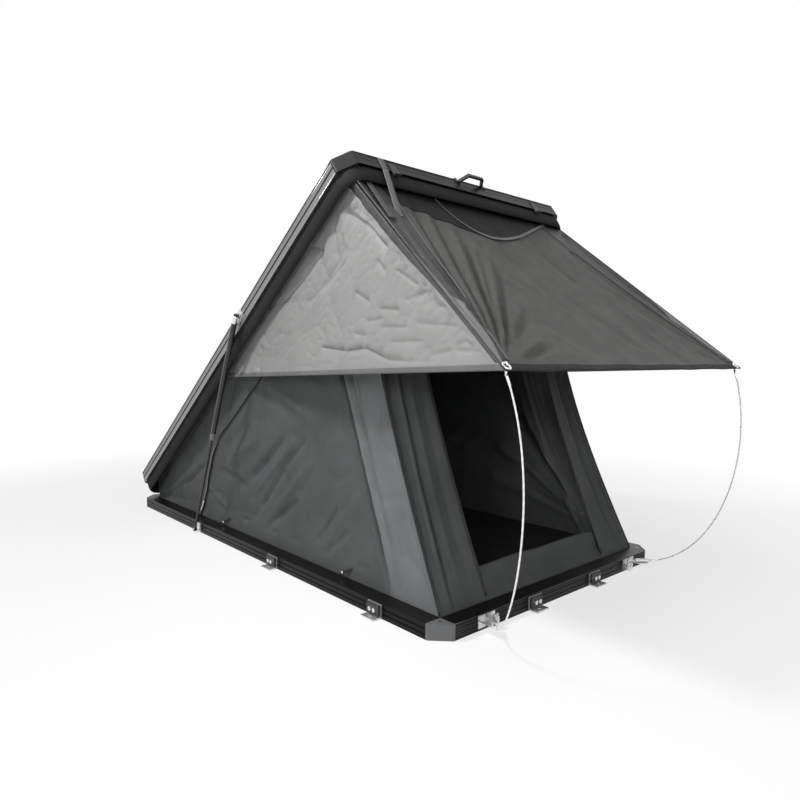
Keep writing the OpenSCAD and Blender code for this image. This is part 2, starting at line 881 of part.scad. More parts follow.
module front_wall() {
  ys = front_columns();
  edge = -ys[0];
  x = inner_x - cloth_gap;
  head_z = lid_z + wall_head_up;
  narrow = function(y, k)
    y - sign(y) * wall_sag * wall_bow(k) * max(0, abs(y) - door_half_w) / (edge - door_half_w);
  fold = function(i, k) wall_bow(k) * wall_fold * (1 - cos(180 * i)) / 4;
  lean = function(y, k)
    wall_point([x, y, wall_foot_z], [x, y, head_z], k);
  front = [
    for (i = [0:len(ys) - 1])
      [for (k = [0:wall_rows])
        let (p = lean(ys[i], k)) [p.x - fold(i, k), narrow(p.y, k), p.z]]
  ];
  row_z = [for (k = [0:wall_rows]) lean(0, k).z];
  is_door = function(i, k)
    i >= 3 && i < len(ys) - 4 && (row_z[k] + row_z[k + 1]) / 2 > door_sill_z
      && (row_z[k] + row_z[k + 1]) / 2 < door_top_z;
  color("#3d4043")
    sheet(moved(front, [-cloth_t, 0, 0]), front, function(i, k) !is_door(i, k));
}

module rear_wall() {
  x = -inner_x + cloth_gap;
  edge = inner_y - cloth_gap - 2 * cloth_t;
  bulge = 6;
  rows = function(y)
    let (a = [x, y, wall_foot_z], b = [x, y, wall_turn_z],
         c = lid_open([x, y, lid_z]), d = lid_open([x, y, lid_z + wall_head_up]))
      [a, b, mix(b, c, 0.5) + [bulge, 0, 0], c, d];
  front = [for (i = [0:12]) rows(mix(-edge, edge, i / 12))];
  color("#46494d") sheet(front, moved(front, [cloth_t, 0, 0]));
}

// Zip band on a side wall: down from the front along the lid's slope, round a bend, then to the base rail

// Place along the shell and share of the height, of the wall column through the point (x, z)
function wall_place(x, z) =
  let (slope = (z - hinge_z) / (x - hinge_x), t = slope / (sin(lid_angle) + slope * (1 - cos(lid_angle))))
    [hinge_x + (z - hinge_z) / (t * sin(lid_angle)), t];

// Inward sag of the left wall's facets at the point (x, z)
function wall_depth(x, z) =
  let (place = wall_place(x, z), long = inner_x - cloth_gap - 2 * cloth_t,
       u = side_cols * (place[0] + long) / (2 * long), k = 1 + place[1] * (wall_rows - 2),
       i = floor(u), j = floor(k), sag = function(a, b) side_sag(a / side_cols, b))
    mix(mix(sag(i, j), sag(i + 1, j), u - i), mix(sag(i, j + 1), sag(i + 1, j + 1), u - i), k - j);

function zip_line(share) =
  let (x = share * half_l) [x, hinge_z + (x - hinge_x) * tan(lid_angle) - zip_drop];

module window_zip() {
  lift = 0.8;
  thick = 1.6;
  start = zip_line(0.57);
  bend_start = zip_line(-0.267);
  bend = zip_line(-0.356);
  low = [-0.473 * half_l, base_h + zip_w];
  line = concat([for (i = [0:9]) mix(start, bend_start, i / 10)],
                rounded(bend_start, bend, mix(bend, low, 0.55), 5),
                [mix(bend, low, 0.78), low]);
  last = len(line) - 1;
  edge = function(i, side)
    let (v = unit(line[min(i + 1, last)] - line[max(i - 1, 0)]), e = line[i] + side * zip_w / 2 * [v[1], -v[0]])
      [e[0], -inner_y + cloth_gap + wall_depth(e[0], e[1]) - lift, e[1]];
  front = [for (i = [0:last]) [edge(i, 1), edge(i, -1)]];
  color("#2a2b2d") sheet(front, moved(front, [0, -thick, 0]));
}

module window_zip_left() {
  window_zip();
}

module window_zip_right() {
  right_side() window_zip();
}

// Lid, modelled closed and then opened

module lid_profile() {
  deep_z = lid_h - 14;
  fine_z = 26;
  top = lid_h - lid_edge_chamfer;
  difference() {
    polygon([[0, 0], [rail_w, 0], [rail_w, lid_h], [lid_edge_chamfer, lid_h], [0, top]]);
    translate([-eps, deep_z]) square([groove_d + eps, 3]);
    translate([-eps, fine_z]) square([groove_d / 2 + eps, 2]);
    translate([rail_wall + groove_d, rail_wall])
      square([rail_w - 2 * rail_wall - groove_d, lid_h - 2 * rail_wall - lid_edge_chamfer]);
  }
}

module lid_lip() {
  translate([rail_w - eps, roof_z - lip_t]) square([lip_w + eps, lip_t]);
}

module lid_rail_front() {
  color("#3a3b3e") on_lid() translate([0, 0, lid_z])
    cross_rail(2 * inner_y, cross_lip) {
      lid_profile();
      lid_lip();
    }
}

module lid_rail_rear() {
  color("#3a3b3e") on_lid() translate([0, 0, lid_z]) mirror([1, 0, 0])
    cross_rail(2 * inner_y, cross_lip) {
      lid_profile();
      lid_lip();
    }
}

module lid_rail_left() {
  color("#9a9da1") on_lid() translate([0, 0, lid_z])
    side_rail(2 * inner_x) {
      lid_profile();
      lid_lip();
    }
}

module lid_rail_right() {
  right_side() lid_rail_left();
}

module lid_panel() {
  color("#b4b7ba") on_lid()
    translate([-inner_x + panel_gap, -inner_y + panel_gap, lid_z + roof_z])
      cube([2 * (inner_x - panel_gap), 2 * (inner_y - panel_gap), roof_t]);
}

module lid_corners() {
  color("#2b2c2e") on_lid() four_corners() corner_block(lid_h, lid_z, lid_h - corner_screw_t, lid_edge_chamfer);
}

module lid_corner_screws() {
  color("silver") on_lid() four_corners() corner_screw(lid_top - corner_screw_t);
}

// Rubber seal: one ring under the rails, with rounded corners
module seal_outline(inset, r) {
  x = half_l - inset;
  y = half_w - inset;
  square([2 * x, 2 * (y - r)], center = true);
  square([2 * (x - r), 2 * y], center = true);
  for (sx = [-1, 1], sy = [-1, 1]) translate([sx * (x - r), sy * (y - r)]) circle(r = r);
}

module lid_seal() {
  color("#141516") on_lid() translate([0, 0, base_h + seal_gap])
    linear_extrude(height = seal_h)
      difference() {
        seal_outline(seal_in, seal_round_out);
        seal_outline(seal_in + seal_w, seal_round_in);
      }
}

module lid_handle() {
  foot_in = handle_w / 2 - handle_bar;
  color("#222325") on_lid()
    translate([half_l, handle_y, handle_z]) {
      linear_extrude(height = handle_h)
        difference() {
          polygon([[0, -handle_w / 2], [handle_reach, -handle_grip_w / 2], [handle_reach, handle_grip_w / 2],
                   [0, handle_w / 2]]);
          polygon([[-1, -foot_in], [handle_reach - handle_bar, -handle_grip_w / 2 + handle_bar * 0.6],
                   [handle_reach - handle_bar, handle_grip_w / 2 - handle_bar * 0.6], [-1, foot_in]]);
        }
      for (side = [-1, 1])
        translate([0, side * (handle_w / 2 + handle_foot_l / 2 - 2), handle_h / 2])
          difference() {
            translate([0, -handle_foot_l / 2, -9]) cube([handle_foot_t, handle_foot_l, 18]);
            translate([-1, 0, 0]) rotate([0, 90, 0]) cylinder(h = handle_foot_t + 2, r = 2.5 + bolt_gap);
          }
    }
}

module handle_screws() {
  color("silver") on_lid()
    for (side = [-1, 1])
      translate([half_l + bolt_gap, handle_y + side * (handle_w / 2 + handle_foot_l / 2 - 2), handle_z + handle_h / 2])
        rotate([0, 90, 0]) {
          cylinder(h = handle_foot_t, r = 2.5);
          translate([0, 0, handle_foot_t - bolt_gap]) cylinder(h = 2.5, r = 4.5);
        }
}

// Webbing from the lid's front edge down to the fly's ridge: one over the rail, one from under it
module lid_straps() {
  n = 6;
  rest = awning_up * strap_gap;
  thick = [1.4, 0, 1.1];
  across = [0, strap_w, 0];
  over = lid_open([half_l + strap_gap, strap_over_y, lid_top - 10]);
  edge = lid_open([half_l + strap_gap, strap_over_y - 4, lid_z - 2]);
  tack = awning_point(-0.86, 0.24) + 2 * rest;
  under = lid_open([half_l - seal_in - seal_w - 10, strap_under_y, lid_z - 2]);
  ridge = awning_point(-0.945, 0.28) + 2 * rest;
  color("#6b6e72")
    webbing(concat([over], [for (i = [0:n]) mix(edge, tack, i / n)]), across, thick);
  color("#2a2b2d")
    webbing([for (i = [0:n]) mix(under, ridge, i / n)], across, thick);
}

// Pull strap that droops over the awning from two points under the lid's front rail
module pull_strap() {
  y0 = -half_w / 3;
  y1 = half_w * 0.775;
  start = 0.035;
  droop = 0.205;
  n = 20;
  path = [
    for (i = [0:n])
      let (t = i / n, w = start + droop * sin(180 * pow(t, 0.51)), half = mix(fly_y, awning_corner.y, w))
        awning_point(mix(y0, y1, t) / half, w) + awning_up * 1.6
  ];
  color("#1f2022") webbing(path, awning_slope * strap_w * 0.6, awning_up * 1.4);
}

// Fly

// Left side panel, from the lid's side rail down to the line between its rear end and the eyelet corner
module fly_side() {
  cols = 14;
  rows = 9;
  wave = function(u, w)
    sin(180 * w) * u * (1 - pow(u, 6)) * (7 * sin(360 * (1.7 * u + 0.8 * w)) + 16 * (1 - u * w));
  rear_low = lid_open([fly_rear.x, fly_rear.y + 3, fly_rear.z - fly_rear_drop]);
  front = [
    for (i = [0:cols])
      let (u = i / cols, a = mix(lid_open(fly_rear), lid_open(fly_front), u), b = mix(rear_low, awning_corner, u))
        [for (k = [0:rows])
          let (w = k / rows, p = mix(a, b, w))
            [p.x, -p.y + wave(u, w), p.z]]
  ];
  sheet(front, moved(front, [0, cloth_t, 0]));
}

module fly_side_left() {
  color("#8d9094") fly_side();
}

module fly_side_right() {
  right_side() fly_side_left();
}

// Panel from the keder bead to the hem between the eyelets, sagging in the middle
module awning_panel() {
  front = [
    for (k = [0:awning_rows])
      [for (i = [0:awning_cols]) awning_point(2 * i / awning_cols - 1, k / awning_rows)]
  ];
  color("#54575b") sheet(moved(front, -awning_up * cloth_t), front);
}

// Metal rings at the awning's corners, on top of the cloth
module awning_eyelets() {
  lift = 1.1;
  tilt = atan2(-awning_slope.z, -awning_slope.x);
  color("#d5d7d9") both_sides()
    translate(eyelet + awning_up * lift)
      rotate([0, -tilt, 0])
        difference() {
          cylinder(h = eyelet_t, r = eyelet_out);
          translate([0, 0, -1]) cylinder(h = eyelet_t + 2, r = eyelet_in);
        }
}

module awning_keder() {
  end = fly_y - cloth_t - 1;
  color("#26272a") on_lid() cross_bar(keder_x, keder_z, keder_r, -end, end);
}

// Springy pole: straight in its socket, then bowed up to the eyelet
module awning_pole() {
  tip_drop = 7.5;
  tip = eyelet - awning_up * tip_drop;
  steps = 26;
  bow = [pole_root, pole_root + pole_dir * awning_z * 0.3565,
         tip + [awning_reach * 0.42, -awning_spread * 0.571, -awning_z * 0.3668], tip];
  path = concat([pole_root - pole_dir * 24], [for (i = [0:steps]) bezier(bow, i / steps)]);
  swept(path, pole_r, 8, [1, -1, 0]);
}

module awning_pole_right() {
  color("#e4e5e6") awning_pole();
}

module awning_pole_left() {
  right_side() awning_pole_right();
}

floor_panel();
base_rail_front();
base_rail_rear();
base_rail_left();
base_rail_right();
base_corners();
base_corner_screws();
mattress();
mount_brackets();
mount_clamps();
mount_bolts();
hinge_base_leaves();
hinge_pins();
strut_base_brackets();
latch_plates();
latch_pins();
pole_brackets();
side_wall_left();
side_wall_right();
front_wall();
rear_wall();
wall_hooks();
window_zip_left();
window_zip_right();
lid_panel();
lid_rail_front();
lid_rail_rear();
lid_rail_left();
lid_rail_right();
lid_corners();
lid_corner_screws();
lid_seal();
lid_handle();
handle_screws();
hinge_lid_leaves();
strut_lid_brackets();
latch_keepers();
lid_straps();
pull_strap();
fly_side_left();
fly_side_right();
awning_pole_left();
awning_pole_right();
awning_panel();
awning_eyelets();
awning_keder();
strut_rod_left();
strut_rod_right();
strut_tube_left();
strut_tube_right();
latch_lever_left();
latch_lever_right();
latch_bail_left();
latch_bail_right();
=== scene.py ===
"""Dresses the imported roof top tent: its cloth, its finishes, the studio and the camera."""

import json
import math

import bmesh
import bpy
import numpy as np
from bpy.props import FloatProperty, FloatVectorProperty, PointerProperty
from mathutils import Matrix, Vector, noise


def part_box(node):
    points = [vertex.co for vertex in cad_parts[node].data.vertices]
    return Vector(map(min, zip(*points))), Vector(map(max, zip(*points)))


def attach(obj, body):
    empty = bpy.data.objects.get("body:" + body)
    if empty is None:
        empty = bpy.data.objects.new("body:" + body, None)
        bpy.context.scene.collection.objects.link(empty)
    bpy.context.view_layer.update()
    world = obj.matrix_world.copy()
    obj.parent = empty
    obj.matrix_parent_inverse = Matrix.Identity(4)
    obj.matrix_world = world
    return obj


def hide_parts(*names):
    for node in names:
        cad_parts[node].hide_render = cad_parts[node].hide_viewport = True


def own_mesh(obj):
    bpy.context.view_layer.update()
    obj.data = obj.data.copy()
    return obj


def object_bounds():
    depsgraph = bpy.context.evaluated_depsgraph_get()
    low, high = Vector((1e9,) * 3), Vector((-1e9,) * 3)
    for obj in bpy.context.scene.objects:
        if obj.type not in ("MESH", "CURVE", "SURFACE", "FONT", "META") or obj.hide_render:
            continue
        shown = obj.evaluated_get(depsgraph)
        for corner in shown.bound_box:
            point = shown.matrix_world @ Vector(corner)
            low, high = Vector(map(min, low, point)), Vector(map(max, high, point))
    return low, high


bl_info = {
    "name": "Roof Top Tent Dresser",
    "version": (1, 0, 0),
    "blender": (4, 5, 0),
    "location": "View3D > Sidebar > Tent",
    "description": "Adds cloth, finishes, studio and camera to a packed roof top tent",
    "category": "Object",
}

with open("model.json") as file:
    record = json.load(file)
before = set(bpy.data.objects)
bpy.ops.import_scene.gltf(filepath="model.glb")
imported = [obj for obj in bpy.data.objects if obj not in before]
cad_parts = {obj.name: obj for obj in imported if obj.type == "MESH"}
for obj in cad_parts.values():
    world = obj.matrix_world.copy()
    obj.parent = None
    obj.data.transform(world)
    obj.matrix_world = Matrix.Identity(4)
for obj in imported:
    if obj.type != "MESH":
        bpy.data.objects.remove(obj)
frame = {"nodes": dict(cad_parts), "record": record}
CAD_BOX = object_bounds()
NODES = frame["nodes"]
JOINTS = {joint["name"]: joint for joint in frame["record"]["behaviour"]["joints"]}

HINGE = np.array(JOINTS["lid_hinge"]["pos_m"])
LID_ANGLE = math.radians(JOINTS["lid_hinge"]["range_deg"][1])
FOLD = np.array(JOINTS["fly_fold"]["pos_m"])


# Geometry of the open lid

def turn_y(points, angle, centre):
    """Turns points about an axis along +Y through centre."""
    p = np.asarray(points, float) - centre
    c, s = math.cos(angle), math.sin(angle)
    turned = np.stack([p[..., 0] * c + p[..., 2] * s, p[..., 1], p[..., 2] * c - p[..., 0] * s], axis=-1)
    return turned + centre


def lid_open(x, y, z):
    """Place at rest of a point that is given on the closed lid."""
    x, y, z = np.broadcast_arrays(np.asarray(x, float), y, z)
    return turn_y(np.stack([x, y, z], axis=-1), -LID_ANGLE, HINGE)


def closed_box(node):
    """Lowest and highest corner of a lid node with the lid shut."""
    corners = np.array([v.co for v in NODES[node].data.vertices])
    shut = turn_y(corners, LID_ANGLE, HINGE)
    return shut.min(axis=0), shut.max(axis=0)


HALF_L, HALF_W, BASE_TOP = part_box("base_corners")[1]
INNER_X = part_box("base_rail_left")[1][0]
INNER_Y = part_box("base_rail_front")[1][1]
LID_LOW = closed_box("lid_corners")[0][2]
LID_TOP = closed_box("lid_corners")[1][2]
EYELET_LOW, EYELET_HIGH = np.array(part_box("awning_eyelets"))
EYELET_RADIUS = 0.014
# Distance of the fly's edge outside the end of the keder bead
KEDER_GAP = 0.004
FLY_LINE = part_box("awning_keder")[1][1] + KEDER_GAP
SIDES = ((-1, "left"), (1, "right"))
ENDS = ((1, "front"), (-1, "rear"))


# Sizes and colours that a user would change

def metres(name, description, default, low, high):
    """A length in metres between two limits."""
    return FloatProperty(name=name, description=description, default=default, min=low, max=high,
                         unit="LENGTH", precision=4)


def tint(name, description, default):
    """A colour in linear values."""
    return FloatVectorProperty(name=name, description=description, default=default, min=0.0, max=1.0,
                               size=3, subtype="COLOR")


class TentSizes(bpy.types.PropertyGroup):
    """Sizes of the cloth pieces"""

    cloth: metres("Cloth", "Thickness of the canvas and fly", 0.0012, 0.0005, 0.003)
    clearance: metres("Clearance", "Gap between cloth and rails", 0.0015, 0.0005, 0.004)
    wall_sag: metres("Wall Sag", "Inward sag of the side walls along their pleat", 0.012, 0.0, 0.1)
    corner_draw: metres("Corner Draw", "How far the walls' front corners are drawn back", 0.046, 0.0, 0.1)
    corner_lean: metres("Corner Lean", "How far the right wall's front leans inward", 0.022, 0.0, 0.06)
    door_draw: metres("Door Draw", "How far the door's edges are drawn back", 0.050, 0.0, 0.1)
    wall_foot: metres("Wall Foot", "Height of the walls' lower edge", 0.031, 0.028, 0.045)
    wall_tuck: metres("Wall Tuck", "How far the walls reach up inside the lid rails", 0.015, 0.005, 0.03)
    door_half: metres("Door Half Width", "Half the width of the door", 0.33, 0.26, 0.36)
    door_sill: metres("Door Sill", "Height of the door sill", 0.142, 0.1, 0.2)
    door_top: metres("Door Top", "Height of the top of the door", 1.13, 0.9, 1.2)
    fly_y: metres("Fly Line", "Distance of the fly's lid edge from the middle", FLY_LINE, 0.53, 0.58)
    fly_rear: metres("Fly Rear", "Closed place along the lid where the sides start", -0.038, -0.15, 0.1)
    fly_drop: metres("Fly Drop", "Depth of the side panels at their rear end", 0.032, 0.01, 0.08)
    awning_sag: metres("Awning Sag", "Downward sag of the awning", 0.026, 0.0, 0.05)
    hem: metres("Hem", "Width of the hems", 0.024, 0.01, 0.04)
    ridge_band: metres("Ridge Band", "Awning cloth turned over the fly sides", 0.030, 0.01, 0.05)
    strap: metres("Strap", "Width of the webbing straps", 0.025, 0.015, 0.035)
    zip: metres("Zip", "Width of the zip bands on the side walls", 0.022, 0.014, 0.03)
    zip_drop: metres("Zip Drop", "Height of the lid's underside above the zip bands", 0.227, 0.15, 0.32)
    seal: metres("Seal", "Height of the relaxed seal under the lid", 0.056, 0.024, 0.07)
    seal_round: metres("Seal Round", "Radius of the seal's corners", 0.067, 0.05, 0.09)


class TentColours(bpy.types.PropertyGroup):
    """Colours of the finishes"""

    canvas: tint("Canvas", "Walls", (0.080, 0.083, 0.084))
    fly: tint("Fly", "Side panels of the fly", (0.252, 0.251, 0.247))
    awning: tint("Awning", "Front panel of the fly", (0.071, 0.070, 0.067))
    # Ridge gussets' cloth, made near-black as painted shade of the band beside the ridge; the ridge bands
    # take a lighter copy
    ridge: tint("Ridge", "Bands beside the ridge", (0.026, 0.026, 0.027))
    webbing: tint("Webbing", "Dark straps", (0.022, 0.022, 0.024))
    pale_webbing: tint("Pale Webbing", "Strap over the lid edge", (0.16, 0.16, 0.165))
    rail: tint("Rail", "Black anodised rails", (0.014, 0.014, 0.015))
    lid_rail: tint("Lid Rail", "Lid side rails", (0.27, 0.27, 0.27))
    casting: tint("Casting", "Base corner castings", (0.110, 0.112, 0.114))
    lid_casting: tint("Lid Casting", "Lid corner castings", (0.011, 0.011, 0.012))
    lining: tint("Lining", "Inside of the walls", (0.72, 0.725, 0.73))
    roof: tint("Roof", "Roof skin", (0.035, 0.035, 0.037))
    steel: tint("Steel", "Stainless fittings", (0.68, 0.68, 0.68))
    pole: tint("Pole", "Awning poles", (0.80, 0.79, 0.76))
    mattress: tint("Mattress", "Mattress cover", (0.030, 0.031, 0.034))


def sizes():
    return bpy.context.scene.tent_sizes


def colours():
    return bpy.context.scene.tent_colours


# Materials

class Shader:
    """A node material with a Principled shader and short calls to add to it."""

    def __init__(self, name):
        self.material = bpy.data.materials.new(name)
        self.material.use_nodes = True
        self.nodes = self.material.node_tree.nodes
        self.links = self.material.node_tree.links
        self.bsdf = next(n for n in self.nodes if n.type == "BSDF_PRINCIPLED")
        self.coords = self.nodes.new("ShaderNodeTexCoord")

    def fill(self, node, **values):
        """Sets or links a node's inputs, each named with _ for a space."""
        for name, value in values.items():
            socket = node.inputs[name.replace("_", " ")]
            if isinstance(value, bpy.types.NodeSocket):
                self.links.new(value, socket)
            else:
                socket.default_value = value
        return node

    def mapped(self, kind="Object", scale=(1, 1, 1)):
        node = self.nodes.new("ShaderNodeMapping")
        return self.fill(node, Vector=self.coords.outputs[kind], Scale=scale).outputs["Vector"]

    def noise(self, vector, scale, detail=4.0, rough=0.55, distortion=0.0):
        node = self.nodes.new("ShaderNodeTexNoise")
        self.fill(node, Vector=vector, Scale=scale, Detail=detail, Roughness=rough, Distortion=distortion)
        return node.outputs["Fac"]

    def wave(self, vector, scale, direction):
        node = self.nodes.new("ShaderNodeTexWave")
        node.bands_direction = direction
        return self.fill(node, Vector=vector, Scale=scale).outputs["Fac"]

    def ranged(self, value, low, high, start=0.3, end=0.7):
        node = self.nodes.new("ShaderNodeMapRange")
        self.fill(node, Value=value, From_Min=start, From_Max=end, To_Min=low, To_Max=high)
        return node.outputs["Result"]

    def math(self, operation, a, b):
        node = self.nodes.new("ShaderNodeMath")
        node.operation = operation
        self.links.new(a, node.inputs[0])
        if isinstance(b, float):
            node.inputs[1].default_value = b
        else:
            self.links.new(b, node.inputs[1])
        return node.outputs[0]

    def blend(self, value, colour, dark, light):
        """Colour that runs from a darker to a lighter shade of one colour."""
        node = self.nodes.new("ShaderNodeMix")
        node.data_type = "RGBA"
        self.fill(node, Factor=value, A=(*shade(colour, dark), 1.0), B=(*shade(colour, light), 1.0))
        return node.outputs["Result"]

    def bump(self, height, strength, distance):
        node = self.nodes.new("ShaderNodeBump")
        self.fill(node, Height=height, Strength=strength, Distance=distance)
        self.links.new(node.outputs["Normal"], self.bsdf.inputs["Normal"])


def shade(colour, factor):
    return tuple(min(1.0, channel * factor) for channel in colour)


def cloth_finish(name, colour, roughness, weave=0.0018, crumple=0.6, gloss=0.25, spread=0.16):
    """Woven cloth: threads from the UVs in metres, soft blotches, and a fine crumple."""
    s = Shader(name)
    uv = s.mapped("UV")
    threads = s.math("MULTIPLY", s.wave(uv, 0.5 / weave, "X"), s.wave(uv, 0.5 / weave, "Y"))
    space = s.mapped("Object")
    blotch = s.ranged(s.noise(space, 6.0, 5.0), 0.0, 0.8)
    tone = s.math("ADD", blotch, s.math("MULTIPLY", threads, 0.2))
    folds = s.math("MULTIPLY", s.noise(space, 9.0, 6.0, 0.62, 0.9), crumple)
    fine = s.math("MULTIPLY", s.noise(space, 34.0, 3.0, 0.5, 0.6), crumple * 0.22)
    height = s.math("ADD", s.math("MULTIPLY", threads, 0.15), s.math("ADD", folds, fine))
    s.bump(height, 0.55, 0.006)
    s.fill(s.bsdf, Base_Color=s.blend(tone, colour, 1 - spread, 1 + spread), Specular_IOR_Level=gloss,
           Roughness=s.ranged(s.noise(space, 18.0, 3.0), roughness - 0.06, roughness + 0.06))
    return s.material


def metal_finish(name, colour, roughness, metallic=0.9, stretch=(1, 1, 1), grain=60.0, depth=0.0001):
    """Metal with a fine grain, drawn out along an axis where it is brushed or extruded."""
    s = Shader(name)
    grainy = s.noise(s.mapped("Object", stretch), grain, 4.0, 0.6)
    patches = s.noise(s.mapped("Object"), 4.0, 3.0)
    tone = s.math("ADD", s.math("MULTIPLY", grainy, 0.5), s.math("MULTIPLY", patches, 0.5))
    s.bump(grainy, 0.25, depth)
    s.fill(s.bsdf, Base_Color=s.blend(tone, colour, 0.92, 1.08), Metallic=metallic,
           Roughness=s.ranged(tone, roughness - 0.05, roughness + 0.08))
    return s.material


def moulded_finish(name, colour, roughness, grain=220.0, depth=0.0004, coat=0.0, gloss=0.4):
    """Moulded or powder-coated surface with a fine pebble grain."""
    s = Shader(name)
    space = s.mapped("Object")
    dust = s.noise(space, 5.0, 5.0)
    s.bump(s.noise(space, grain, 2.0, 0.5), 0.35, depth)
    s.fill(s.bsdf, Base_Color=s.blend(s.ranged(dust, 0.0, 1.0), colour, 0.88, 1.14),
           Roughness=s.ranged(dust, roughness - 0.05, roughness + 0.07),
           Coat_Weight=coat, Coat_Roughness=0.25, Specular_IOR_Level=gloss)
    return s.material


def webbing_finish(name, colour):
    """Ribbed webbing with its ribs along the UVs' second axis."""
    s = Shader(name)
    uv = s.mapped("UV")
    weave = s.math("MULTIPLY", s.wave(uv, 160.0, "Y"), s.wave(uv, 90.0, "X"))
    s.bump(weave, 0.5, 0.0008)
    s.fill(s.bsdf, Base_Color=s.blend(weave, colour, 0.75, 1.25), Specular_IOR_Level=0.3,
           Roughness=s.ranged(s.noise(s.mapped("Object"), 30.0), 0.5, 0.68))
    return s.material


def pole_finish(name, colour):
    """Pale rod with a shallow spiral, from UVs that run round and along it."""
    s = Shader(name)
    spiral = s.wave(s.mapped("UV"), 30.0, "DIAGONAL")
    s.bump(spiral, 0.25, 0.0006)
    s.fill(s.bsdf, Base_Color=s.blend(spiral, colour, 0.9, 1.06),
           Roughness=s.ranged(s.noise(s.mapped("Object"), 40.0), 0.3, 0.45))
    return s.material


def cloth_recipes(c):
    return {
        "canvas": dict(colour=c.canvas, roughness=0.56, weave=0.0024, crumple=0.55, gloss=0.16),
        # Strip ahead of the side walls' pleat: the canvas made lighter, painted light for its turn towards
        # the lamps
        "strip_canvas": dict(colour=shade(c.canvas, 1.8), roughness=0.5, weave=0.0024, crumple=0.4,
                             gloss=0.22),
        "lining": dict(colour=c.lining, roughness=0.6, weave=0.0024, crumple=0.4),
        "fly_cloth": dict(colour=c.fly, roughness=0.38, gloss=0.45, spread=0.08),
        "hem_cloth": dict(colour=shade(c.fly, 0.55), roughness=0.5, crumple=0.4),
        "wrap_cloth": dict(colour=shade(c.fly, 0.62), roughness=0.34, gloss=0.5),
        "awning_cloth": dict(colour=c.awning, roughness=0.46, gloss=0.14),
        # Near-black copy of the awning's cloth: painted shadow of the lid on the awning's top
        "header_cloth": dict(colour=shade(c.awning, 0.18), roughness=0.55, crumple=0.7, gloss=0.08),
        "dark_hem": dict(colour=shade(c.awning, 0.25), roughness=0.6, crumple=0.2, gloss=0.12),
        "pale_seam": dict(colour=shade(c.awning, 1.5), roughness=0.45, crumple=0.2),
        # Ridge gussets: real panels whose near-black colour is painted shade
        "ridge_cloth": dict(colour=c.ridge, roughness=0.42, gloss=0.3),
        "ridge_band": dict(colour=shade(c.ridge, 1.7), roughness=0.4, gloss=0.35),
        "mattress_cover": dict(colour=c.mattress, roughness=0.8, weave=0.004, crumple=0.2, gloss=0.1),
    }


def metal_recipes(c):
    extruded = dict(grain=14.0, depth=0.0004)
    anodised = dict(colour=c.rail, roughness=0.36, metallic=0.92, **extruded)
    return {
        "black_rail_x": dict(stretch=(0.6, 30, 30), **anodised),
        "black_rail_y": dict(stretch=(30, 0.6, 30), **anodised),
        "lid_rail": dict(colour=c.lid_rail, roughness=0.34, stretch=(0.8, 30, 0.8), **extruded),
        # Lighter copies of the rail finishes for the rails' lips: painted highlights along the rails' edges
        "rail_lip": dict(colour=shade(c.lid_rail, 1.5), roughness=0.3),
        "black_lip": dict(colour=shade(c.rail, 3.6), roughness=0.3),
        "stainless": dict(colour=c.steel, roughness=0.28, metallic=0.75, stretch=(4, 60, 60), grain=20.0,
                          depth=0.0004),
        "bright_steel": dict(colour=shade(c.steel, 1.2), roughness=0.16, metallic=1.0, grain=90.0,
                             depth=0.0002),
        "strut_rod": dict(colour=(0.05, 0.05, 0.052), roughness=0.22, grain=80.0),
    }


def moulded_recipes(c):
    return {
        "casting": dict(colour=c.casting, roughness=0.5, grain=260.0, depth=0.0005),
        "lid_casting": dict(colour=c.lid_casting, roughness=0.5, grain=260.0, depth=0.0005, gloss=0.2),
        "roof_skin": dict(colour=c.roof, roughness=0.42, grain=320.0, depth=0.0003, coat=0.1),
        "floor_skin": dict(colour=(0.04, 0.04, 0.042), roughness=0.6),
        "black_steel": dict(colour=(0.022, 0.022, 0.024), roughness=0.42, grain=300.0),
        "strut_tube": dict(colour=(0.014, 0.014, 0.016), roughness=0.26, grain=60.0, depth=0.0001, coat=0.4),
        "strut_gland": dict(colour=(0.16, 0.16, 0.165), roughness=0.4, grain=200.0, depth=0.0002),
        "rubber": dict(colour=(0.020, 0.020, 0.021), roughness=0.72, grain=180.0, depth=0.0005, gloss=0.12),
        "black_plastic": dict(colour=(0.018, 0.018, 0.02), roughness=0.45, grain=240.0),
    }


def webbing_recipes(c):
    return {
        "webbing": dict(colour=c.webbing),
        "pale_webbing": dict(colour=c.pale_webbing),
        "grey_webbing": dict(colour=shade(c.pale_webbing, 0.45)),
        "zip_tape": dict(colour=shade(c.canvas, 0.75)),
    }


def pole_recipes(c):
    return {"pole": dict(colour=c.pole)}


RECIPES = (
    (cloth_finish, cloth_recipes),
    (metal_finish, metal_recipes),
    (moulded_finish, moulded_recipes),
    (webbing_finish, webbing_recipes),
    (pole_finish, pole_recipes),
)
MADE = {}


def finish(name):
    """The tent's finish of that name, made once."""
    if name not in MADE:
        maker, recipes = next(pair for pair in RECIPES if name in pair[1](colours()))
        MADE[name] = maker(name, **recipes(colours())[name])
    return MADE[name]


# Mesh helpers

# Thickness of thin tape and of webbing
TAPE = 0.0014
WEBBING = 0.0016


def distances(path):
    """Distance along a path at each of its points."""
    return np.cumsum(np.r_[0, np.linalg.norm(np.diff(path, axis=0), axis=1)])


def unit(vectors):
    return vectors / np.linalg.norm(vectors, axis=-1, keepdims=True)


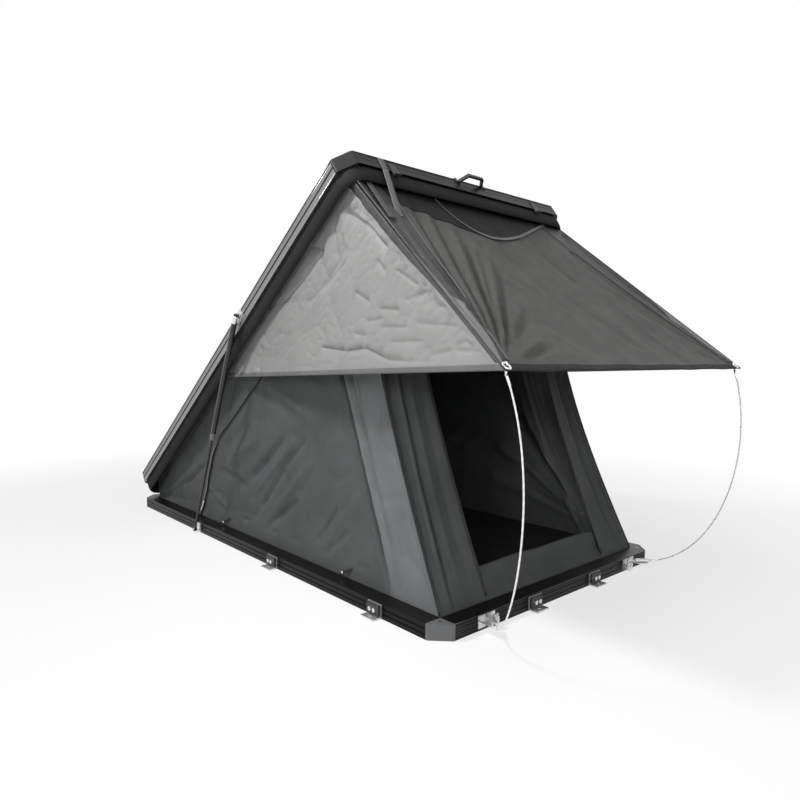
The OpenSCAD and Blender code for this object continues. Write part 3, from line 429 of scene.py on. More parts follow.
def grid_piece(name, points, cover, thickness=0.0, wrap=False):
    """Mesh from a grid of points in the finish named, with UVs in metres along its rows and columns."""
    points = np.asarray(points, float)
    rows, cols = points.shape[:2]
    along = distances(points.mean(axis=1))
    across = distances(points.mean(axis=0))
    across = np.r_[across, across[-1] + (across[-1] - across[-2])]
    faces = []
    spots = []
    for i in range(rows - 1):
        for j in range(cols if wrap else cols - 1):
            n = (j + 1) % cols
            faces.append((i * cols + j, (i + 1) * cols + j, (i + 1) * cols + n, i * cols + n))
            spots += [(along[i], across[j]), (along[i + 1], across[j])]
            spots += [(along[i + 1], across[j + 1]), (along[i], across[j + 1])]
    mesh = bpy.data.meshes.new(name)
    mesh.from_pydata(points.reshape(-1, 3).tolist(), [], faces)
    layer = mesh.uv_layers.new(name="cloth")
    layer.data.foreach_set("uv", np.array(spots, dtype=np.float32).ravel())
    mesh.polygons.foreach_set("use_smooth", [True] * len(faces))
    mesh.materials.append(finish(cover))
    piece = bpy.data.objects.new(name, mesh)
    bpy.context.scene.collection.objects.link(piece)
    if thickness:
        thicken(piece, thickness)
    return piece


def thicken(piece, thickness, lining=None, flip=False):
    """Gives a sheet its thickness, and a lining on its far face where one is named."""
    solid = piece.modifiers.new("Thickness", "SOLIDIFY")
    solid.thickness = -thickness if flip else thickness
    solid.offset = 0.0
    if lining:
        solid.material_offset = len(piece.data.materials)
        for _ in range(solid.material_offset):
            piece.data.materials.append(finish(lining))


def tube(name, path, cover, radius, sides=8, up=(0, 1, 0)):
    """Round tube along points, with its ends closed."""
    path = np.asarray(path, float)
    tangent = unit(np.gradient(path, axis=0))
    side = unit(np.cross(tangent, up))
    top = np.cross(side, tangent)
    angle = np.linspace(0, 2 * math.pi, sides, endpoint=False)[None, :, None]
    radius = np.broadcast_to(radius, len(path))[:, None, None]
    rings = path[:, None] + radius * (side[:, None] * np.cos(angle) + top[:, None] * np.sin(angle))
    piece = grid_piece(name, rings, cover, wrap=True)
    bm = bmesh.new()
    bm.from_mesh(piece.data)
    bmesh.ops.holes_fill(bm, edges=[e for e in bm.edges if e.is_boundary], sides=sides + 1)
    bmesh.ops.recalc_face_normals(bm, faces=bm.faces)
    bm.to_mesh(piece.data)
    bm.free()
    return piece


def strip(name, path, across, cover, thickness):
    """Flat webbing along points; across is the width vector at each point."""
    path = np.asarray(path, float)
    across = np.broadcast_to(np.asarray(across, float), path.shape)
    steps = np.linspace(-0.5, 0.5, 5)
    grid = path[:, None] + across[:, None] * steps[None, :, None]
    return grid_piece(name, grid, cover, thickness=thickness)


def join(pieces, name):
    """One mesh from several, welded where they meet, with its faces turned outward."""
    weld = 0.0002
    bm = bmesh.new()
    for piece in pieces:
        bm.from_mesh(piece.data)
    bmesh.ops.remove_doubles(bm, verts=bm.verts, dist=weld)
    bmesh.ops.recalc_face_normals(bm, faces=bm.faces)
    bm.to_mesh(pieces[0].data)
    bm.free()
    for piece in pieces[1:]:
        bpy.data.objects.remove(piece)
    pieces[0].name = name
    return pieces[0]


def lerp(a, b, t):
    a, b, t = np.asarray(a, float), np.asarray(b, float), np.asarray(t, float)
    return a + (b - a) * t[..., None]


def smooth(t):
    t = np.clip(t, 0, 1)
    return t * t * (3 - 2 * t)


def hump(t):
    """Bell that is 1 at zero and fades to about a third at 1 either way."""
    return np.exp(-t ** 2)


def crease(a, b, start, end, width, depth, sharp=False):
    """Fold of that depth along a line between two places, soft or sharp, fading at its ends."""
    (a0, b0), (a1, b1) = start, end
    run = math.hypot(a1 - a0, b1 - b0)
    ua, ub = (a1 - a0) / run, (b1 - b0) / run
    along = ((a - a0) * ua + (b - b0) * ub) / run
    off = np.abs((a - a0) * -ub + (b - b0) * ua) / width
    ends = smooth(along / 0.2 + 0.3) * smooth((1 - along) / 0.2 + 0.3)
    return depth * ends * (np.exp(-off) if sharp else hump(off))


def creases(a, b, folds, sharp=False):
    """Sum of folds, each given as its start, end, width and depth in metres."""
    return sum(crease(a, b, start, end, width, depth, sharp) for start, end, width, depth in folds)


def rough_noise(points, scale):
    """Smooth noise in -1 to 1 at each point."""
    flat = points.reshape(-1, 3) * scale
    return np.array([noise.noise(Vector(p)) for p in flat]).reshape(points.shape[:-1])


def ridges(points, scale, power):
    """Noise with narrow ridges that reach 1; a higher power makes them sharper."""
    return np.maximum(1 - np.abs(rough_noise(points, scale)) * 2, 0) ** power


def mirrored(points):
    return np.asarray(points, float) * np.array([1, -1, 1])


def sideways(side, distance):
    """Step across the tent, outward on that side."""
    return np.array([0, side * distance, 0])


# Stowing: each piece is attached to the body that it moves with


def stow_in_base(piece):
    """Wall cloth is attached to the base."""
    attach(piece, "base")
    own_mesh(piece)


def stow_with_fly(piece, side):
    """Fly sides and poles are attached to the fly sides' body."""
    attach(piece, "fly_sides")
    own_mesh(piece)


def stow_with_awning(piece):
    """The awning is attached to the awning's body."""
    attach(piece, "awning")
    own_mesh(piece)


def stow_strap(piece):
    """Straps below the lid's front edge are attached to the lid."""
    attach(piece, "lid")
    tuple(lid_open(HALF_L - 0.02, 0, LID_LOW - 0.001))
    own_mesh(piece)


def dress(piece, slot, stow, *where):
    """Hands a piece to its stow function, which attaches it to a body, and returns it; slot is not used."""
    stow(piece, *where)
    return piece


# Shapes of the cloth

WALL_ROWS = 118


def wall_rows(x, y, rows):
    """Wall points from the base past the rail's edge and up to the lid, and the share of sag at each row."""
    s = sizes()
    low, turn = [np.stack([x, y, np.full_like(x, z)], axis=-1) for z in (s.wall_foot, BASE_TOP + 0.002)]
    lid_turn, head = [lid_open(x, y, LID_LOW + up) for up in (0, s.wall_tuck)]
    t = np.linspace(0, 1, rows)
    middle = [turn + (lid_turn - turn) * k for k in t]
    points = np.stack([low, *middle, head], axis=1)
    bow = np.r_[0, np.sin(math.pi * t), 0]
    return points, bow


# Places of the hooks under each side wall, as shares of half the tent's length
HOOK_SHARES = (-0.257, 0.532)
# Line of the side wall's pleat, from its top to its foot, as places along and up
PLEAT = ((0.565, 0.76), (0.835, 0.06))
# Folds ahead of the pleat and behind it: start and end as places along and up, width, depth inward
STRIP_FOLDS = (
    ((0.70, 0.70), (0.91, 0.08), 0.017, -0.006),
    ((0.66, 0.75), (0.74, 0.48), 0.010, 0.010),
    ((0.90, 0.32), (0.92, 0.18), 0.014, 0.005),
    ((0.80, 0.65), (0.81, 0.56), 0.008, 0.004),
    ((0.88, 0.06), (0.92, 0.13), 0.008, 0.007),
)
SLACK_FOLDS = (
    ((0.20, 0.49), (-0.08, 0.28), 0.020, 0.016),
    ((0.27, 0.48), (-0.03, 0.23), 0.016, -0.008),
    ((0.34, 0.49), (0.20, 0.37), 0.014, 0.011),
    ((0.20, 0.37), (0.02, 0.18), 0.014, 0.012),
    ((0.41, 0.43), (0.13, 0.19), 0.018, -0.007),
    ((0.30, 0.26), (0.06, 0.10), 0.016, 0.010),
    ((0.55, 0.28), (0.42, 0.12), 0.010, 0.009),
    ((0.59, 0.27), (0.47, 0.11), 0.012, -0.004),
    ((0.61, 0.20), (0.50, 0.11), 0.014, 0.008),
    ((0.40, 0.52), (0.48, 0.20), 0.040, 0.006),
    ((-0.36, 0.29), (-0.10, 0.24), 0.022, 0.013),
    ((-0.47, 0.19), (-0.28, 0.12), 0.012, -0.007),
    ((0.08, 0.69), (0.34, 0.59), 0.020, -0.009),
    ((0.02, 0.66), (0.30, 0.55), 0.024, 0.006),
    ((-0.98, 0.08), (-0.49, 0.32), 0.016, -0.007),
    ((-0.73, 0.16), (-0.51, 0.28), 0.013, 0.008),
    ((-0.28, 0.33), (-0.01, 0.46), 0.022, -0.008),
    ((-0.30, 0.40), (-0.08, 0.52), 0.026, 0.008),
)
# Places along of the short tucks at the wall's foot
HEM_TUCKS = (-0.12, 0.12, 0.28, 0.49, 0.70)
# Pulls on the right wall: the end away from its front corner, width, depth inward
CORNER_PULLS = (
    ((0.42, 0.60), 0.030, -0.026),
    ((0.56, 0.62), 0.020, 0.024),
    ((0.36, 0.42), 0.022, 0.020),
    ((0.48, 0.34), 0.020, -0.018),
    ((0.62, 0.20), 0.014, -0.012),
    ((0.30, 0.26), 0.030, 0.012),
)


def pleat_offset(x, z):
    """Distance forward of the pleat's line, square to it."""
    (x0, z0), (x1, z1) = PLEAT
    run = math.hypot(x1 - x0, z1 - z0)
    return ((x - x0) * (z0 - z1) + (z - z0) * (x1 - x0)) / run


def side_folds(x, z):
    """Inward depth of the left wall's folds: the pleat and its strip, the slack, and tucks at the foot."""
    ahead = pleat_offset(x, z)
    low = smooth((0.84 - z) / 0.10)
    groove = 0.030 * np.exp(-np.abs(ahead) / 0.011)
    groove += 0.018 * np.exp(-np.abs(ahead - 0.048) / 0.010) * smooth((z - 0.2) / 0.2)
    ridge = 0.008 * hump((ahead + 0.016) / 0.012) + 0.010 * hump((ahead - 0.022) / 0.012)
    depth = low * (groove - ridge)
    depth += creases(x, z, STRIP_FOLDS) + creases(x, z, SLACK_FOLDS)
    for tuck in HEM_TUCKS:
        depth += crease(x, z, (tuck - 0.035, 0.10), (tuck + 0.035, 0.105), 0.010, 0.007)
    return depth


def front_pulls(x, z):
    """Inward depth of the right wall's folds, which fan out from its lower front corner."""
    corner = (0.90, 0.10)
    reach = np.clip(np.hypot(x - corner[0], z - corner[1]) / 0.4, 0.2, 1.4)
    faded = np.minimum(reach + 0.4, 1)
    return sum(crease(x, z, corner, top, width * reach, depth * faded)
               for top, width, depth in CORNER_PULLS)


def flat_wall():
    """Places along the left wall, closer at the front, its grid before it sags, and its share of sag."""
    long = INNER_X - sizes().clearance - 0.003
    middle = 0.50
    x = np.r_[np.linspace(-long, middle, 146)[:-1], np.linspace(middle, long, 150)]
    points, bow = wall_rows(x, np.full_like(x, sizes().clearance - INNER_Y), WALL_ROWS)
    return x, points, bow


def side_wall_points(side):
    """Grid of the side wall; side is -1 for the left and 1 for the right."""
    s = sizes()
    x, points, bow = flat_wall()
    px, pz = points[..., 0], points[..., 2]
    ahead = pleat_offset(px, pz)
    front = pleat_offset(np.interp(pz, points[-1, :, 2], points[-1, :, 0]), pz)
    strip_share = np.clip(ahead / front, 0, 1)
    rear_share = hump(np.minimum(ahead, 0) / 0.22)
    sag = bow * s.wall_sag * np.where(ahead < 0, rear_share, 1 - 0.75 * strip_share)
    folds = side_folds(px, pz) if side < 0 else side_folds(px, pz) * 0.3 + front_pulls(px, pz)
    loose = 0.007 * rough_noise(points, 4.0) + 0.0030 * rough_noise(points, 13.0)
    loose += 0.0045 * ridges(points, 5.5, 4)
    loose *= 1 - 0.8 * hump(ahead / 0.06)
    to_front = (x[-1] - x[:, None]) / (x[-1] - x[0])
    free = np.minimum(bow * 2.5, 1) * smooth(to_front * 60)
    points[..., 1] += sag + free * np.maximum(folds + 0.010 + loose, -0.012)
    points[..., 0] -= bow * corner_draw(side) * smooth((ahead + 0.24) / (front + 0.24))
    if side > 0:
        points[..., 1] += bow * s.corner_lean * smooth((ahead + 0.3) / 0.4)
    return points if side < 0 else mirrored(points)


def corner_draw(side):
    """How far a side wall's front corner is drawn back; the slacker right one goes further."""
    return sizes().corner_draw * (1.0 if side < 0 else 1.5)


def door_line(y):
    """Front wall's line from the base to the lid at a place across, drawn back between them, and its bow."""
    x = np.array([INNER_X - sizes().clearance])
    line, bow = wall_rows(x, np.array([y]), WALL_ROWS)
    line[0, :, 0] -= bow * sizes().door_draw
    return line[0], bow


# Upright pleats beside the door: place and width as shares of the panel's width, depth inward
JAMB_PLEATS = ((0.12, 0.060, 0.040), (0.25, 0.040, -0.034), (0.36, 0.045, 0.034), (0.56, 0.060, -0.008),
               (0.80, 0.080, 0.008))


def jamb_points(side_wall, side):
    """Grid of a front panel beside the door, from the side wall's front edge to the upright door edge."""
    corner_line = side_wall[-1]
    door, bow = door_line(side * sizes().door_half)
    share = np.linspace(0, 1, 60)[:, None]
    points = corner_line[None] + (door - corner_line)[None] * share[..., None]
    height = np.clip(points[..., 2], 0, 1.4)
    held = np.sin(math.pi * share) ** 0.6
    across = share + 0.03 * np.sin(height * 5.0 + 0.6)
    pleats = sum(amount * hump((across - place) / width) for place, width, amount in JAMB_PLEATS)
    loose = 0.003 * rough_noise(points, 5.0) + 0.0012 * rough_noise(points, 16.0)
    strength = 1.0 if side < 0 else 0.5
    depth = np.minimum(bow * 2.5, 1)[None] * held * np.maximum(0.012 + pleats * strength + loose, -0.008)
    points[..., 0] -= depth * 0.95
    points[..., 2] -= depth * 0.31
    return points


def door_panel_points(low, high, rows):
    """Grid of the sill or the panel over the door, set back behind the jambs."""
    y = np.linspace(-1, 1, 70) * (sizes().door_half + 0.012)
    line, _ = door_line(0.0)
    z = np.linspace(low, high, rows)
    front = np.interp(z, line[:, 2], line[:, 0])
    points = np.stack(np.broadcast_arrays(front[None], y[:, None], z[None]), axis=-1).copy()
    away = smooth((z - BASE_TOP) / 0.03)[None] * smooth((line[-2, 2] - z) / 0.03)[None]
    slack = 0.004 * np.sin(y[:, None] * 19 + z[None] * 30) + 0.005 * rough_noise(points, 5.0)
    points[..., 0] -= away * (0.011 + np.maximum(slack, -0.004))
    return points


def grid_spot(points, a, b):
    """Points of a grid at whole and part steps along its two directions."""
    i = np.clip(a.astype(int), 0, points.shape[0] - 2)
    j = np.clip(b.astype(int), 0, points.shape[1] - 2)
    fa, fb = (a - i)[..., None], (b - j)[..., None]
    low = points[i, j] * (1 - fa) + points[i + 1, j] * fa
    high = points[i, j + 1] * (1 - fa) + points[i + 1, j + 1] * fa
    return low * (1 - fb) + high * fb


def wall_spot(points, x, z):
    """Points of a side wall's grid at places along and up it, between its cells."""
    run, rise = x - HINGE[0], z - HINGE[2]
    slope = rise / run
    share = slope / (math.sin(LID_ANGLE) + slope * (1 - math.cos(LID_ANGLE)))
    start = rise / (share * math.sin(LID_ANGLE)) + HINGE[0]
    a = np.interp(start, points[:, 0, 0], np.arange(points.shape[0]))
    b = np.clip(1 + share * (WALL_ROWS - 1), 0, points.shape[1] - 1.001)
    return grid_spot(points, a, b)


def zip_line():
    """Places along and up of the zip's middle line: along the lid's slope, round a bend and down."""
    start, turn, bend = [under_lid(share * HALF_L) for share in (0.57, -0.267, -0.356)]
    low = np.array([-0.473 * HALF_L, BASE_TOP + 0.012])
    after = bend + (low - bend) * 0.55
    t = np.linspace(0, 1, 24)[:, None]
    curve = (1 - t) ** 2 * turn + 2 * t * (1 - t) * bend + t * t * after
    line = np.vstack([lerp(start, turn, np.linspace(0, 1, 40))[:-1], curve,
                      lerp(after, low, np.linspace(0, 1, 12))[1:]])
    return line[:, 0], line[:, 1]


def under_lid(x):
    """Place along and up of the zip below the lid's slope."""
    return np.array([x, HINGE[2] + (x - HINGE[0]) * math.tan(LID_ANGLE) - sizes().zip_drop])


# Height of the eyelets' middle above the corner of the hem
HEM_DROP = 0.011


def eyelet_centre(side):
    """Middle of an awning eyelet; side is -1 for the left and 1 for the right."""
    x, _, z = (EYELET_LOW + EYELET_HIGH) / 2
    return np.array([x, side * (EYELET_HIGH[1] - EYELET_RADIUS), z])


def fly_corner():
    """Corner where the right fly side meets the awning's hem, a little below the eyelet."""
    x, y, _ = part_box("fly_side_right")[1]
    return np.array([x, y, eyelet_centre(1)[2] - HEM_DROP])


def closed_x_of_fold():
    """Place along the shut lid of the line where the fly leaves it."""
    return float(turn_y(FOLD, LID_ANGLE, HINGE)[0])


# Crease along the fly side above its hem, as places along and up
HEM_CREASE = ((0.55, 0.83), (0.71, 0.815), (0.81, 0.825), (0.93, 0.79), (1.02, 0.785))
# Folds of the fly side: start and end as places along and up, width, depth inward
FLY_FOLDS = (
    ((0.87, 0.94), (0.97, 0.93), 0.009, 0.009),
    ((0.73, 1.00), (0.82, 0.96), 0.008, 0.009),
    ((1.22, 0.815), (1.32, 0.81), 0.011, 0.009),
    ((1.12, 0.80), (1.21, 0.815), 0.013, 0.008),
    ((1.05, 0.89), (1.22, 0.875), 0.009, 0.006),
    ((0.88, 0.885), (1.02, 0.88), 0.009, 0.006),
    ((0.94, 0.84), (1.09, 0.84), 0.010, 0.006),
    ((0.25, 1.01), (0.39, 1.08), 0.008, 0.009),
    ((0.38, 1.08), (0.50, 1.16), 0.008, 0.009),
    ((0.41, 0.98), (0.67, 1.11), 0.012, 0.006),
    ((0.63, 1.27), (0.75, 1.21), 0.012, 0.015),
    ((0.75, 1.22), (0.88, 1.11), 0.013, 0.018),
    ((0.71, 1.25), (0.86, 1.15), 0.011, -0.010),
    ((0.40, 1.19), (0.51, 1.16), 0.010, 0.011),
    ((0.83, 1.09), (0.885, 1.045), 0.008, 0.008),
    ((0.93, 1.05), (1.05, 0.99), 0.008, 0.008),
    ((0.99, 0.955), (1.09, 0.975), 0.008, 0.007),
    ((1.12, 0.935), (1.18, 0.925), 0.008, 0.006),
    ((1.01, 0.785), (1.16, 0.785), 0.009, 0.007),
    ((0.07, 0.74), (0.10, 0.84), 0.016, 0.009),
    ((0.63, 1.12), (0.50, 1.03), 0.012, 0.005),
    ((0.81, 0.905), (0.90, 0.91), 0.008, 0.006),
    ((0.75, 0.87), (0.82, 0.86), 0.008, 0.006),
    ((1.26, 0.86), (1.29, 0.85), 0.008, 0.007),
    ((1.33, 0.815), (1.375, 0.785), 0.009, 0.006),
    ((0.56, 1.24), (0.60, 1.12), 0.012, 0.008),
    ((0.60, 1.28), (0.66, 1.15), 0.011, -0.006),
    ((0.47, 1.15), (0.56, 1.04), 0.014, 0.006),
)


def fly_folds(x, z):
    """Inward depth of the fly side's folds: pulls at the ridge and the lid, and a long crease at the hem."""
    depth = creases(x, z, FLY_FOLDS, sharp=True)
    for start, end in zip(HEM_CREASE, HEM_CREASE[1:]):
        depth += crease(x, z, start, end, 0.008, 0.013, sharp=True)
    return depth


def fly_side_points(side):
    """Grid of a fly side panel, from the lid edge down to its hem, with its wrinkles."""
    s = sizes()
    under = LID_LOW - 0.0006
    u, w = np.linspace(0, 1, 270), np.linspace(0, 1, 150)
    top = lerp(lid_open(s.fly_rear, -s.fly_y, under), lid_open(closed_x_of_fold(), -s.fly_y, under), u)
    rear = lid_open(s.fly_rear, -s.fly_y - 0.003, under - s.fly_drop)
    low = lerp(rear, mirrored(fly_corner()), u)
    points = top[:, None] + (low - top)[:, None] * w[None, :, None]
    u, w = u[:, None], w[None, :]
    hold = np.sin(math.pi * w) * u * (1 - u ** 6)
    depth = hold * (0.007 * np.sin(2 * math.pi * (1.7 * u + 0.8 * w)) + 0.016 * (1 - u * w))
    depth += fly_folds(points[..., 0], points[..., 2])
    depth += 0.0026 * ridges(points, 7.0, 3) + 0.0012 * rough_noise(points, 13.0)
    depth += 0.0014 * ridges(points, 24.0, 3)
    depth += 0.0050 * ridges(points, 30.0, 2) * hump((1 - u) * 12) * smooth((1 - u) * 40)
    points[..., 1] += depth * smooth(w * 14) * smooth((1 - w) * 9) * smooth((1 - u) * 30)
    return points if side < 0 else mirrored(points)


def awning_surface(v, w):
    """Awning's point, v from -1 to 1 across and w from 0 at the lid to 1 at the hem, and its normal."""
    s = sizes()
    top = lid_open(closed_x_of_fold() + 0.0075, 0, LID_LOW - 0.0045)
    hem = fly_corner()
    v, w = np.broadcast_arrays(np.asarray(v, float), w)
    x = top[0] + (hem[0] - top[0]) * w
    z = top[2] + (hem[2] - top[2]) * w
    y = v * (awning_half(w) - 0.003)
    normal = unit(np.array([top[2] - hem[2], 0, hem[0] - top[0]]))
    dip = s.awning_sag * np.sin(math.pi * w) * (1 - v * v)
    dip = dip + 0.003 * w * (1 - v ** 6) * (1 + np.cos(5 * math.pi * v)) / 2
    return np.stack([x, y, z], axis=-1) - dip[..., None] * normal, normal


def awning_half(w):
    """Half the awning's width at a share down it."""
    return sizes().fly_y + (fly_corner()[1] - sizes().fly_y) * w


# Pulls into the left and the right eyelet: angle from the slope and spread in degrees, start, end, depth
EYELET_PULLS = (
    (8.0, 0.9, 0.10, 1.05, 0.009), (11.0, 0.9, 0.12, 1.05, -0.008),
    (16.5, 0.8, 0.10, 1.00, -0.006), (18.5, 0.9, 0.05, 1.00, 0.009),
    (21.5, 1.2, 0.12, 1.00, -0.010), (24.0, 0.9, 0.25, 1.00, 0.008),
    (28.0, 1.5, 0.10, 0.98, -0.012), (31.5, 1.2, 0.05, 0.92, 0.012),
    (34.0, 0.9, 0.30, 0.90, -0.005), (38.0, 1.5, 0.05, 0.92, -0.010),
    (41.5, 1.3, 0.04, 0.80, 0.009), (48.0, 2.6, 0.14, 0.64, -0.006),
    (53.0, 2.6, 0.16, 0.56, 0.006), (65.0, 4.0, 0.06, 0.42, -0.009),
    (72.0, 3.6, 0.08, 0.38, 0.009),
)
FAR_PULLS = (
    (9.0, 1.2, 0.10, 1.05, 0.004), (20.0, 2.0, 0.15, 0.80, 0.004), (25.0, 2.0, 0.12, 0.70, -0.003),
    (33.0, 2.4, 0.06, 0.60, 0.003), (66.0, 4.0, 0.06, 0.36, 0.004),
)
# Slack in the awning: start and end as places across and shares down, width, depth
AWNING_SLACK = (
    ((-0.14, 0.28), (-0.22, 0.48), 0.018, 0.005), ((-0.02, 0.26), (-0.08, 0.46), 0.020, 0.004),
    ((0.55, 0.09), (0.42, 0.28), 0.016, 0.006), ((0.18, 0.26), (0.23, 0.50), 0.020, 0.004),
    ((0.05, 0.60), (0.12, 0.90), 0.030, 0.004), ((0.34, 0.50), (0.30, 0.86), 0.026, -0.004),
)
# Places across of the pull strap's ends, as shares of half the tent's width
PULL_START, PULL_END = -1 / 3, 0.775


def fan(y, w, folds):
    """Downward depth of folds that fan out from the left eyelet."""
    aside = y + 0.655
    up = 0.985 - w
    away = np.hypot(aside, up)
    angle = np.degrees(np.arctan2(aside, up))
    depth = np.zeros_like(y)
    for at, width, near, far, amount in folds:
        ends = smooth((away - near) / 0.14) * smooth((far - away) / 0.30)
        depth += amount * ends * hump((angle - at) / width)
    return depth


def awning_folds(y, w):
    """Downward depth of the awning's folds: pulls from the lid into each eyelet, and slack beside them."""
    return fan(y, w, EYELET_PULLS) + fan(-y, w, FAR_PULLS) + creases(y, w, AWNING_SLACK)


def pull_dip(t):
    """Share down the awning of the pull strap's curve, t running from its left end to its right."""
    return 0.035 + 0.205 * np.sin(math.pi * t ** 0.51)


def painted_shadow_edge(t):
    """Places across the awning and shares down it along the lower edge of the painted shadow under the lid.
    """
    across = -0.77 + 1.545 * t
    along = np.clip((across - PULL_START) / (PULL_END - PULL_START), 0, 1)
    slope = 0.150 + 0.100 * (across + 0.77) / 0.70
    return HALF_W * across, np.where(along > 0.235, pull_dip(along), np.minimum(slope, 0.24))


def awning_points():
    """Grid of the awning with its folds, and its upward normal."""
    v, w = np.meshgrid(np.linspace(-1, 1, 280), np.linspace(0, 1, 150))
    points, normal = awning_surface(v, w)
    depth = awning_folds(points[..., 1], w)
    depth += 0.0014 * ridges(points, 6.0, 3) + 0.0009 * rough_noise(points, 12.0)
    hold = smooth(w * 10 + 0.1) * smooth((1 - np.abs(v)) * 25) * smooth((1 - w) * 14 + 0.05)
    return points - (depth * hold)[..., None] * normal, normal


def awning_spot(points, v, w):
    """Points of the awning's grid at shares across, from -1 to 1, and shares down."""
    rows, cols = points.shape[:2]
    return grid_spot(points, w * (rows - 1), (v + 1) / 2 * (cols - 1))


# Operators: one for each piece or group of like pieces

class TENT_OT_finishes(bpy.types.Operator):
    """Give each metal, rubber and moulded piece its finish"""

    bl_idname = "tent.finishes"
    bl_label = "Finishes"

    def execute(self, context):
        groups = {
            "black_rail_y": ["base_rail_front", "base_rail_rear", "lid_rail_front", "lid_rail_rear"],
            "black_rail_x": ["base_rail_left", "base_rail_right"],
            "lid_rail": ["lid_rail_left", "lid_rail_right"],
            "casting": ["base_corners"],
            "lid_casting": ["lid_corners"],
            "roof_skin": ["lid_panel"],
            "floor_skin": ["floor_panel"],
            "stainless": ["mount_brackets", "strut_base_brackets", "strut_lid_brackets", "latch_plates",
                          "pole_brackets", "latch_lever_left", "latch_lever_right"],
            "bright_steel": ["base_corner_screws", "lid_corner_screws", "handle_screws", "mount_bolts",
                             "hinge_pins", "latch_pins", "latch_bail_left", "latch_bail_right"],
            "black_steel": ["mount_clamps", "hinge_base_leaves", "hinge_lid_leaves", "wall_hooks",
                            "latch_keepers"],
            "strut_rod": ["strut_rod_left", "strut_rod_right"],
            "strut_tube": ["strut_tube_left", "strut_tube_right"],
            "black_plastic": ["lid_handle"],
            "dark_hem": ["awning_keder"],
        }
        for name, nodes in groups.items():
            for node in nodes:
                for held in NODES[node].material_slots:
                    held.material = finish(name)
        return {"FINISHED"}


class TENT_OT_seal(bpy.types.Operator):
    """Run the bulb seal round under the lid"""

    bl_idname = "tent.seal"
    bl_label = "Seal"

    def execute(self, context):
        s = sizes()
        inset = 0.018
        half = [(0.0100, 0.0), (0.0104, 0.2), (0.0108, 0.42), (0.0100, 0.62), (0.0080, 0.80), (0.0046, 0.95)]
        section = [*half, (0.0, 1.0), *((-off, drop) for off, drop in reversed(half)), half[0]]
        place, out = self.ring(HALF_L - inset, HALF_W - inset, s.seal_round)
        rows = []
        for off, drop in section:
            x, y = (place + out * off).T
            rows.append(lid_open(x, y, LID_LOW - 0.0003 - s.seal * drop))
        seal = join([grid_piece("seal_bulb", rows, "rubber", wrap=True)], "seal_bulb")
        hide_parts("lid_seal")
        dress(seal, "rubber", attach, "lid")
        tuple(lid_open(0, 0, LID_LOW))
        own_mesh(seal)
        return {"FINISHED"}

    def ring(self, x, y, r):
        """Places round a rectangle with rounded corners, and their outward directions."""
        place, out = [], []
        for sx, sy, start in ((1, 1, 0.0), (-1, 1, 0.5), (-1, -1, 1.0), (1, -1, 1.5)):
            for turn in np.linspace(start * math.pi, (start + 0.5) * math.pi, 15):
                way = np.array([math.cos(turn), math.sin(turn)])
                place.append(np.array([sx * (x - r), sy * (y - r)]) + r * way)
                out.append(way)
        return np.array(place), np.array(out)


# Lips along the rails, fine rods in lighter copies of the rail finishes that paint highlights on the rails'
# edges: how far inside the rail's face each one is, and its height on the rail
LID_LIPS = ((0.0, 0.0018), (0.0, 0.0450), (0.0, 0.0545), (0.006, 0.0618))
BASE_LIPS = ((0.0, 0.0012), (0.0, 0.0130), (0.0, 0.0190), (0.0, 0.0290), (0.0, 0.0350), (0.0006, 0.0474))
# Black strips in the lid rails' grooves, made as T-slot covers whose black paints the grooves' shade: height
# on the rail and width
GROOVE_SHADE_STRIPS = ((0.0270, 0.0060), (0.0495, 0.0065))
RAIL_STEPS = np.linspace(-1, 1, 9)


class TENT_OT_rail_lips(bpy.types.Operator):
    """Round the edges of the rails' grooves with fine lips in lighter metal, painted highlights, and lay
    black strips of painted shade in the lid's side grooves
    """

    bl_idname = "tent.rail_lips"
    bl_label = "Rail Lips"

    def execute(self, context):
        x, y = INNER_X * RAIL_STEPS, INNER_Y * RAIL_STEPS
        for side, word in SIDES:
            lid = [lid_open(x, side * (HALF_W - inset), LID_LOW + up) for inset, up in LID_LIPS]
            lips = self.lips(f"lid_lips_{word}", lid, "rail_lip", radius=0.0016)
            dress(lips, "grey_alloy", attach, "lid")
            self.groove_shade_strips(side, word)
        for end, word in ENDS:
            lid = [lid_open(end * (HALF_L - inset), y, LID_LOW + up) for inset, up in LID_LIPS]
            base = [np.stack(np.broadcast_arrays(end * (HALF_L - inset), y, up), axis=-1)
                    for inset, up in BASE_LIPS]
            for body, paths in (("lid", lid), ("base", base)):
                lips = self.lips(f"{body}_lips_{word}", paths, "black_lip", radius=0.0011)
                dress(lips, "dark_alloy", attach, body)
        return {"FINISHED"}

    def lips(self, name, paths, cover, radius):
        rods = [tube(f"{name}_{k}", path, cover, radius, up=(0.3, 0.2, 0.9))
                for k, path in enumerate(paths)]
        return join(rods, name)

    def groove_shade_strips(self, side, word):
        """Black strips that close the grooves: T-slot covers whose black is painted shade in the grooves."""
        y = side * HALF_W
        for k, (up, width) in enumerate(GROOVE_SHADE_STRIPS):
            low = LID_LOW + up
            path = lid_open(INNER_X * RAIL_STEPS, y, low) + sideways(side, 0.0004)
            across = lid_open(0, y, low + width) - lid_open(0, y, low)
            cover = strip(f"lid_slots_{word}_{k}", path, across, "rubber", thickness=0.0008)
            dress(cover, "rubber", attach, "lid")


